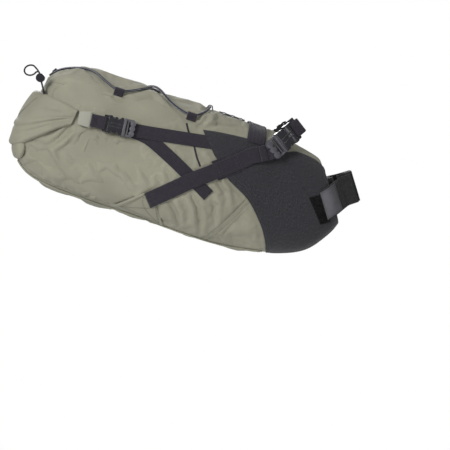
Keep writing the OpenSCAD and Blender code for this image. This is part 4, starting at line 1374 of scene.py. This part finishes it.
def make_compression():
    make_buckle("compression", 20, COMP, "compression_plug_{}")
    # webbing loop behind the socket, both layers sewn into the end tab
    bar = -socket_end(20) + 2.8
    line = rounded_line([(-50, 0.9), (-40, 1.2), (bar - 4, 3.2), (bar + 1.9, 3.2),
                         (bar + 1.9, -3.2), (bar - 4, -3.2), (-40, -1.2), (-50, -0.9)])
    pair(web_loop("tab_webbing", line, 20, COMP), "bag", "webbing", "tab_webbing_{}")
    across = np.array([(-46.5, y, 3.0) for y in np.linspace(-8.5, 8.5, 8)])
    up = np.tile([0, 0, 1.0], (8, 1))
    sewn = [(across + (dx, 0, dz), up) for dx, dz in ((0, -0.9), (2.0, -0.8), (4.0, -0.7))]
    pair(stitches("tab_stitching", sewn, "black_thread", placed(COMP)), "bag", "webbing")

    # the end tab: a folded patch of lighter fabric, narrower where the folds gather
    xs = np.linspace(0, 1, 14)
    path = along([[-414.0, -22.9, 7.4], [-424, -24.2, 7.2], [-434, -25.5, 5.6]], 2 * xs)
    centre, normal = on_side(path[:, 0], path[:, 1], path[:, 2])
    side = unit(np.cross(normal, np.gradient(centre, axis=0)))
    s = np.linspace(-1, 1, 15)
    half = 12.0 - 2.5 * xs ** 2
    puff = 0.5 * np.sin(np.pi * xs)[:, None] * (1 - s ** 2)
    points = (centre[:, None] + side[:, None] * (half[:, None] * s)[..., None]
              + normal[:, None] * puff[..., None])
    normals = np.repeat(normal[:, None], 15, 1)
    tab = sheet_mesh("end_tab", points, normals, 1.9, "tab")
    pair(tab, "bag", "tab_fabric", "end_tab_{}")
    edge = [(points[k] + normals[k] * 1.0, normals[k]) for k in (1, 2)]
    pair(stitches("end_tab_stitching", edge, "green_thread"), "bag", "tab_fabric")

    # strap from the side panel to the plug, and its free end
    start, end = row_point(on_side(-250, 1, 2)[0]), row_point(on_side(-346, -15, 5)[0])
    rings, middle = flank_rings(COMP_ROUTE + [(-222, 6.2, 0.9), (-212, 8, 0.2)], 60, 20, 1.4)
    strap = tube_mesh("compression_strap", bag(rings), "web",
                      strap_uv(middle, strap_profile(20, 1.5)))
    outward(strap)
    blended_pair(strap, "compression_plug_{}", "webbing", start, end, "compression_strap_{}")
    rings, middle = flank_rings(TAIL_ROUTE, 64, 20, 1.4)
    tail = tube_mesh("compression_tail", bag(rings), "web",
                     strap_uv(middle, strap_profile(20, 1.4)))
    outward(tail)
    start, end = row_point(on_side(-240, -55, 1)[0]), row_point(on_side(-340, -18, 2)[0])
    blended_pair(tail, "compression_plug_{}", "webbing", start, end, "compression_tail_{}")


def make_anchor():
    corners = np.array([[-298, -101], [-338, -137], [-253, -143], [-275, -116]], float)
    i, j = np.meshgrid(np.linspace(0, 1, 30), np.linspace(0, 1, 24), indexing="ij")

    def place(i, j):
        low = corners[1] + (corners[2] - corners[1]) * i[..., None]
        high = corners[0] + (corners[3] - corners[0]) * i[..., None]
        return low + (high - low) * j[..., None]

    p = place(i, j)
    edge = np.minimum.reduce([i * 12, (1 - i) * 12, j * 8, (1 - j) * 8])
    lift = 1.2 + 0.5 * np.exp(-(edge - 0.9) ** 2 / 0.3) - 0.3 * np.exp(-(edge - 2.0) ** 2 / 0.2)
    point, normal = on_side(p[..., 0], p[..., 1])
    obj = sheet_mesh("strap_anchor", point + normal * lift[..., None], normal, 1.1, "shell")
    pair(obj, "bag", "shell_fabric", "strap_anchor_{}")
    f = np.linspace(0, 1, 26)
    low, high = np.full(26, 0.07), np.full(26, 0.93)
    span = 0.07 + 0.86 * f
    lines = []
    for a, b in ((span, low), (span, high), (low, span), (high, span), (span, span),
                 (span, 1 - span), (span, low + 0.06), (span, high - 0.07), (low + 0.04, span),
                 (high - 0.04, span)):
        q = place(a, b)
        point, normal = on_side(q[:, 0], q[:, 1], 2.0)
        lines.append((point, normal))
    pair(stitches("anchor_stitching", lines, "green_thread"), "bag", "shell_fabric")


def flank_lines(route, shifts, lift):
    """Lines beside a flank strap's middle line, for stitching along it."""
    r = smooth(route, 30)
    way = unit(np.gradient(r[:, :2], axis=0))
    lines = []
    for s in shifts:
        x, z = r[:, 0] - way[:, 1] * s, r[:, 1] + way[:, 0] * s
        point, normal = on_side(x, z)
        lines.append((point + normal * (r[:, 2:3] + lift), normal))
    return lines


def make_saddle_straps():
    make_buckle("saddle", 25, RAIL, "saddle_plug_{}")
    origin, basis = RAIL
    ex, ez = basis[0], basis[2]
    low, middle = flank_rings(SADDLE_ROUTE, 46, 25, 1.5)
    last = on_side(-163.0, 2.0, 4.6)
    high = [origin + ex * d - ez * 2.8 for d in (22, 18.5, 15, 11)]
    bend, normals = [], []
    for f in np.linspace(0, 1, 12)[1:-1]:
        bend.append(last[0] * (1 - f) + high[0] * f - [0, 1.6 * math.sin(math.pi * f), 0])
        normals.append(unit(last[1] * (1 - f) + ez * f))
    path = np.array([*bend, *high])
    normals = np.array([*normals, ez, ez, ez, ez])
    rings = np.concatenate([low, path_rings(path, normals, 25, 1.5)])
    line = np.concatenate([middle, path])
    strap = tube_mesh("saddle_strap", bag(rings), "web", strap_uv(line, strap_profile(25, 1.5)))
    outward(strap)
    start, end = row_point(last[0] + [-12, 0, -12]), row_point(origin + ex * 16)
    blended_pair(strap, "saddle_plug_{}", "webbing", start, end, "saddle_strap_{}")

    # the strap's own end, folded twice and sewn, which lies back on it below the plug
    back = np.concatenate([[origin + ex * d + ez * 2.9 for d in (12, 15, 18.5, 22)],
                           np.array(bend)[::-1] + ez * 2.2])
    marks = resample(back, 2.5)[:13]
    n = len(marks)
    lift = np.repeat(ez[None], n, 0)
    tail = tube_mesh("saddle_strap_end", bag(path_rings(marks, lift, 24.4, 1.5)), "web",
                     strap_uv(marks, strap_profile(24.4, 1.5)))
    outward(tail)
    fold = marks[-5:] + ez * 1.5
    hem = tube_mesh("saddle_strap_hem", bag(path_rings(fold, lift[-5:], 24.0, 1.6)), "web",
                    strap_uv(fold, strap_profile(24.0, 1.6)))
    outward(hem)
    side = basis[1]
    ends = []
    for k in (1, 3):
        row = fold[k] + side * np.linspace(-10.5, 10.5, 9)[:, None] + ez * 1.1
        ends.append((row, np.repeat(ez[None], 9, 0)))
    hem_sewn = stitches("saddle_hem_stitching", ends, "black_thread")
    for piece in (tail, hem, hem_sewn):
        pair(piece, "saddle_plug_{}", "webbing")

    reinforcement = [(-206, -34.5, 2.6), (-188, -20, 2.6), (-170, -4.5, 2.6)]
    rings, middle = flank_rings(reinforcement, 24, 32, 0.9)
    patch = tube_mesh("strap_reinforcement", bag(rings), "web",
                      strap_uv(middle, strap_profile(32, 0.9)))
    outward(patch)
    pair(patch, "bag", "webbing", "strap_reinforcement_{}")
    sewn = flank_lines(SADDLE_ROUTE[:2] + [(-245, -68, 3.5)], (-11, 11), 0.8)
    box = [(-203, -32, 4), (-188, -20, 4), (-174, -8, 4.2)]
    sewn += flank_lines(box, (-11, -9, 9, 11), 0.85)
    sewn += flank_lines([(-203, -32, 4), (-174, -8, 4.2)], (0,), 0.85)
    for x, z in ((-201, -31), (-198, -28), (-178, -11), (-175, -9)):
        row = np.linspace(-11, 11, 12)
        point, normal = on_side(x - 0.65 * row, z + 0.76 * row, 4.9)
        sewn.append((point, normal))
    pair(stitches("saddle_strap_stitching", sewn, "black_thread"), "bag", "webbing")

    # the band over the top
    u, angle = np.meshgrid(np.linspace(7.2, 7.85, 9), np.linspace(38, 142, 90), indexing="ij")
    points = skin(u, angle, 2.8)
    uv = measured(points * MM)[..., ::-1]
    yoke = sheet_mesh("top_yoke", points, skin_normal(u, angle), 1.5, "web", uv)
    settle(yoke, "bag", "webbing", "top_yoke")
    lines = []
    for u in (7.25, 7.8):
        angles = np.linspace(40, 140, 80)
        lines.append((skin(np.full(80, u), angles, 3.6), skin_normal(np.full(80, u), angles)))
    settle(stitches("yoke_stitching", lines, "black_thread"), "bag", "webbing")

    # webbing from the socket's bar round the saddle rail
    rail = -socket_end(25) - 9
    bar = -socket_end(25) + 2.8
    around = [(rail + 4.35 * math.cos(a), 4.35 * math.sin(a))
              for a in np.radians(np.linspace(50, 310, 14))]
    line = rounded_line([(bar + 1.9, 3.2)] + around + [(bar + 1.9, -3.2)])
    pair(web_loop("rail_loop", line, 25, RAIL), "bag", "webbing", "rail_loop_{}")
    sewn = []
    for x in (rail + 5.4, rail + 7.2):
        row = np.array([(x, y, 4.1) for y in np.linspace(-11, 11, 9)])
        sewn.append((row, np.tile([0, 0, 1.0], (9, 1))))
    pair(stitches("rail_loop_stitching", sewn, "black_thread", placed(RAIL)), "bag", "webbing")


# ------------------------------------------------------------------ cords on the top


def web_strip(name, path, normals, width, thick, frame_place):
    rings = path_rings(path, normals, width, thick)
    obj = tube_mesh(name, frame_place(rings), "web",
                    strap_uv(np.asarray(path), strap_profile(width, thick)))
    outward(obj)
    return obj


def make_cord_tab(name, u, angle, height, turn, length):
    """Webbing that rises off the fabric over the cord and back down, sewn at both feet."""
    travel = skin(u + 0.1, angle) - skin(u - 0.1, angle)
    normal = skin_normal(u, angle)
    basis = axes(travel, normal)
    c, s = math.cos(turn), math.sin(turn)
    spin = np.array([[c, s, 0], [-s, c, 0], [0, 0, 1]])
    origin = skin(u, angle, height)
    half = [(-8.6, -height + 0.9), (-6.2, -height + 1.0), (-4.4, -1.9), (-3.6, 0.5), (-2.7, 2.2),
            (-1.2, 2.9), (0, 3.0)]
    line = np.array(half + [(-y, z) for y, z in half[-2::-1]])
    line = along(line, np.linspace(0, len(line) - 1, 40))
    way = unit(np.gradient(line, axis=0))
    path = np.stack([np.zeros(40), line[:, 0], line[:, 1]], -1)
    normals = np.stack([np.zeros(40), -way[:, 1], way[:, 0]], -1)
    move = lambda p: bag((p @ spin) @ basis + origin)
    rings = path_rings(path, normals, length, 1.3)
    obj = tube_mesh(name, move(rings), "web", strap_uv(path, strap_profile(length, 1.3)))
    outward(obj)
    settle(obj, "bag", "webbing", "cord_tabs")
    return obj


def make_cords():
    there = lace(150, False, 0)
    back = lace(150, True, 4.6)[::-1][1:]
    path = resample(np.concatenate([there, back]), 2.2)
    cord = make_cord("elastic_cord", path, 2.0, "bungee", bag, 14)
    settle(cord, "bag", "cord", "bungee_cord")
    ends = []
    for point, way in ((path[0], path[0] - path[1]), (path[-1], path[-1] - path[-2])):
        way = unit(way)
        ends.append(cord_rings([point - way * 2, point, point + way * 5, point + way * 6],
                               2.35, 14))
    for k, rings in enumerate(ends):
        obj = tube_mesh(f"cord_end_{k + 1}", bag(rings), "rubber")
        outward(obj)
        settle(obj, "bag", "cord")

    right = math.pi / 2
    make_cord_tab("cord_tab_front_right", 5.58, 47, 4.4, 0, 15)
    make_cord_tab("cord_tab_front_left", 5.58, 133, 4.4, 0, 15)
    make_cord_tab("cord_tab_rear_right", 3.87, 47, 4.4, 0, 15)
    make_cord_tab("cord_tab_rear_left", 3.87, 133, 4.4, 0, 15)
    make_cord_tab("cord_tab_top", 1.15, 90, 8.4, 0, 8)
    make_cord_tab("cord_tab_nose", 5.98, 90, 4.4, right, 10)

    # daisy chain: webbing along the ridge, sewn down between its loops
    k = np.linspace(0, 18, 90)
    u = 6.25 + 0.8 * k / 18
    angle = np.full(90, 90.0)
    rise = 1.9 + 1.1 * np.sin(np.radians(k * 30)) ** 2
    path = skin(u, angle) + skin_normal(u, angle) * rise[:, None]
    band = web_strip("daisy_band", path, skin_normal(u, angle), 20, 1.4, bag)
    settle(band, "bag", "webbing", "daisy_band")
    low = skin(u, angle) + skin_normal(u, angle) * 0.9
    under = web_strip("daisy_band_base", low, skin_normal(u, angle), 20, 1.4, bag)
    settle(under, "bag", "webbing", "daisy_band")
    tacks = []
    for at in (0, 6, 12, 18):
        for shift in (-0.5, -0.2, 0.1, 0.4):
            q = np.clip(at + shift, 0.1, 17.9)
            y = np.linspace(-8.5, 8.5, 12)
            base = skin(6.25 + 0.8 * q / 18, 90.0)
            normal = skin_normal(6.25 + 0.8 * q / 18, 90.0)
            row = base + normal * 2.75 + np.stack([0 * y, y, 0 * y], -1)
            tacks.append((row, np.repeat(normal[None], 12, 0)))
    settle(stitches("daisy_bar_tacks", tacks, "black_thread", bag, 2.4), "bag", "webbing")

    # pull cord, its foot and its lock
    leg = [[2.1, 0, -24 + 4 * q] for q in range(9)] + [[2.0, 1.6, 10.4]]
    turn = [[1.6 * -a / 2.4, 12.5 + 9.5 * math.cos(a), 15 + 7.8 * math.sin(a)]
            for a in np.linspace(-2.4, 2.4, 40)]
    down = [[-2.0, 2.2, 14.5]] + [[-2.1, 0, -24 + 4 * q] for q in range(8, -1, -1)]
    path = resample(smooth(leg + turn + down, 240), 1.1)
    loop = make_cord("pull_cord_loop", path, 1.3, "pull", placed(LOCK), 10, (0, 1, 0))
    settle(loop, "bag", "pull_cord", "pull_cord")
    foot = softened("pull_cord_anchor", "pull_cord_foot", "web", 0.5)
    settle(foot, "bag", "webbing", "pull_cord_anchor")
    barrel = softened("cord_lock_barrel", "cord_lock_body", "socket", 0.5, 30, 3)
    settle(barrel, "bag", "buckle_plastic", "cord_lock_barrel")
    spring = bpy.data.objects.new("lock_spring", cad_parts["cord_lock_spring"].data.copy())
    bpy.context.scene.collection.objects.link(spring)
    spring.data.materials.clear()
    spring.data.materials.append(M["steel"])
    ends = [v.co.y for v in spring.data.vertices]
    settle(spring, "bag", "spring_steel", "cord_lock_spring")
    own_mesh(spring)
    button = softened("cord_lock_button", "cord_lock_plunger", "plug", 0.35, 30, 2)
    settle(button, "cord_lock_button", "adjuster_plastic", "cord_lock_button")


# ------------------------------------------------------------------ seatpost strap


def make_seatpost_strap():
    pad = softened("seatpost_pad", "post_pad", "rubber", 1.0, 30, 3, -POST_TILT)
    settle(pad, "bag", "rubber", "seatpost_pad")
    band = softened("seatpost_strap", "post_strap", "post_web", 0.9, 30, 3, -POST_TILT)
    settle(band, "bag", "webbing", "seatpost_strap")

    def to_post(p):
        return turned(p, math.radians(36))

    rear, middle = on_side(-22, -31, 5.2)[0], on_side(-11, -18, 7.5)[0]
    knots = np.array([[22, -20.0, -2], [14, -20.6, -2.2], [6, -20.8, -2.5], [0, -23, -4],
                      to_post(middle), to_post(rear)])
    path = smooth(knots, 50)
    way = unit(np.gradient(path * (1, 1, 0), axis=0))
    normals = np.stack([way[:, 1], -way[:, 0], 0 * way[:, 0]], -1)
    normals *= -np.sign(normals[25, 1]) * 1.0
    profile = strap_profile(48, 2.2)
    side = np.array([0, 0, -1.0])

    def rings_of(path, normals, profile):
        return (path[:, None] + side * profile[None, :, :1]
                + normals[:, None] * profile[None, :, 1:])

    flap = tube_mesh("post_flap", post(rings_of(path, normals, profile)), "post_web",
                     strap_uv(path, profile))
    outward(flap)
    settle(flap, "seatpost_flap", "webbing", "seatpost_flap")

    # blank label near the flap's end
    first, last = 35, 50
    label_profile = strap_profile(44, 1.3)
    label_path = path[first:last + 1] + normals[first:last + 1] * 1.85
    label = tube_mesh("strap_label", post(rings_of(label_path, normals[first:last + 1],
                                                   label_profile)), "label",
                      strap_uv(label_path, label_profile))
    outward(label)
    settle(label, "seatpost_flap", "label_rubber", "strap_label")
    lines = []
    for z in (-22.6, 22.6, -20.9, 20.9):
        keep = range(4, 34)
        lines.append((np.array([path[k] + normals[k] * 1.25 + (0, 0, z) for k in keep]),
                      normals[4:34]))
    for k in (5, 33):
        z = np.linspace(-22, 22, 18)
        row = path[k] + normals[k] * 1.25 + np.stack([0 * z, 0 * z, z], -1)
        lines.append((row, np.repeat(normals[k][None], 18, 0)))
    border = []
    for z in (-20.3, 20.3):
        border.append((label_path[1:-1] + normals[first + 1:last] * 0.75 + (0, 0, z),
                       normals[first + 1:last]))
    for k in (1, -2):
        z = np.linspace(-20, 20, 18)
        n = normals[first:last + 1][k]
        border.append((label_path[k] + n * 0.75 + np.stack([0 * z, 0 * z, z], -1),
                       np.repeat(n[None], 18, 0)))
    settle(stitches("flap_stitching", lines, "black_thread", post), "seatpost_flap", "webbing")
    settle(stitches("label_stitching", border, "black_thread", post, 2.4, 0.28),
           "seatpost_flap", "label_rubber")

    # hook patch on the nose: a backing with a dense pile of short hooks
    corners = np.array([[-49, -27], [-17, -61], [-3, -52], [-33, -17]], float)
    i, j = np.meshgrid(np.linspace(0, 1, 24), np.linspace(0, 1, 24), indexing="ij")

    def place(i, j):
        low = corners[1] + (corners[2] - corners[1]) * i[..., None]
        high = corners[0] + (corners[3] - corners[0]) * i[..., None]
        return low + (high - low) * j[..., None]

    p = place(i, j)
    point, normal = on_side(p[..., 0], p[..., 1])
    patch = sheet_mesh("hook_patch", point + normal * 2.4, normal, 0.9, "hook")
    settle(patch, "bag", "hook_tape", "hook_patch")
    count = 2600
    q = place(rng.uniform(0.02, 0.98, count), rng.uniform(0.02, 0.98, count))
    base, normal = on_side(q[:, 0], q[:, 1], 2.75)
    lean = unit(normal + rng.normal(size=(count, 3)) * 0.5)
    side = unit(np.cross(normal, rng.normal(size=(count, 3))))
    verts = np.stack([base - side * 0.16, base + side * 0.16, base + lean * 1.1], 1)
    other = np.cross(normal, side)
    verts = np.concatenate([verts, (base + other * 0.16)[:, None]], 1).reshape(-1, 3)
    faces = [(4 * k + a, 4 * k + b, 4 * k + c) for k in range(count)
             for a, b, c in ((0, 1, 2), (1, 3, 2), (3, 0, 2), (0, 3, 1))]
    pile = mesh_object("hook_pile", bag(verts), faces, "hook")
    settle(pile, "bag", "hook_tape")


# ------------------------------------------------------------------ what stays from the CAD

KEPT = {"bottom_stiffener": "sheet", "closure_stiffener": "sheet", "air_valve_body": "sheet",
        "air_valve_button": "plug"}


def dress_cad_nodes():
    for name, key in KEPT.items():
        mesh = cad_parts[name].data
        mesh.materials.clear()
        mesh.materials.append(M[key])
        mesh.polygons.foreach_set("use_smooth", [True] * len(mesh.polygons))
        mesh.set_sharp_from_angle(angle=math.radians(35))
        if not mesh.uv_layers:
            box_uv(mesh, BAG_TILT)


# strength of the white surroundings as a light, and as the camera sees them
WORLD_LIGHT, WORLD_SEEN = 0.22, 1.0
FLOOR_HEIGHT = -0.9      # metres, well below the bag, which hangs from its bicycle


def make_stage():
    n = Nodes("studio_paper")
    tone = n.mix(n.ramp(n.noise(3, 2), 0.3, 0.7), (0.80, 0.80, 0.79), (0.84, 0.84, 0.84))
    paper = n.finish(tone, 0.95, n.bump(n.noise(200, 2), 0.0002, 0.3), Specular_IOR_Level=0.1,
                     Emission_Color=(1, 1, 1, 1), Emission_Strength=0.15)
    rings = [[(r * math.cos(a), r * math.sin(a), FLOOR_HEIGHT)
              for a in np.linspace(0, 2 * math.pi, 64, endpoint=False)] for r in (0.02, 1.2, 2.2)]
    floor = grid_mesh("studio_floor", np.array(rings, float), None, None, True)
    floor.data.materials.append(paper)

    centre = (-0.2, 0, 0.0)
    area_light("key", (-1.7, -2.0, 1.15), centre, 0.9, 50)
    area_light("front_fill", (1.3, -2.6, 0.4), centre, 1.6, 12)
    area_light("top", (0.1, 0.2, 2.4), centre, 1.6, 11)
    area_light("back", (-0.6, 2.4, 0.9), centre, 1.4, 22)
    world = bpy.data.worlds.new("studio")
    world.use_nodes = True
    tree = world.node_tree
    seen = tree.nodes.new("ShaderNodeLightPath").outputs["Is Camera Ray"]
    strength = tree.nodes.new("ShaderNodeMapRange")
    strength.inputs["To Min"].default_value = WORLD_LIGHT
    strength.inputs["To Max"].default_value = WORLD_SEEN
    tree.links.new(seen, strength.inputs["Value"])
    tree.links.new(strength.outputs[0], tree.nodes["Background"].inputs[1])
    tree.nodes["Background"].inputs[0].default_value = (1, 1, 1, 1)
    bpy.context.scene.world = world
    bpy.context.scene.view_settings.view_transform = "Standard"


make_camera()
make_shell()
make_side_panels()
make_seams()
make_roll()
make_inside()
make_compression()
make_anchor()
make_saddle_straps()
make_cords()
make_seatpost_strap()
dress_cad_nodes()
make_stage()
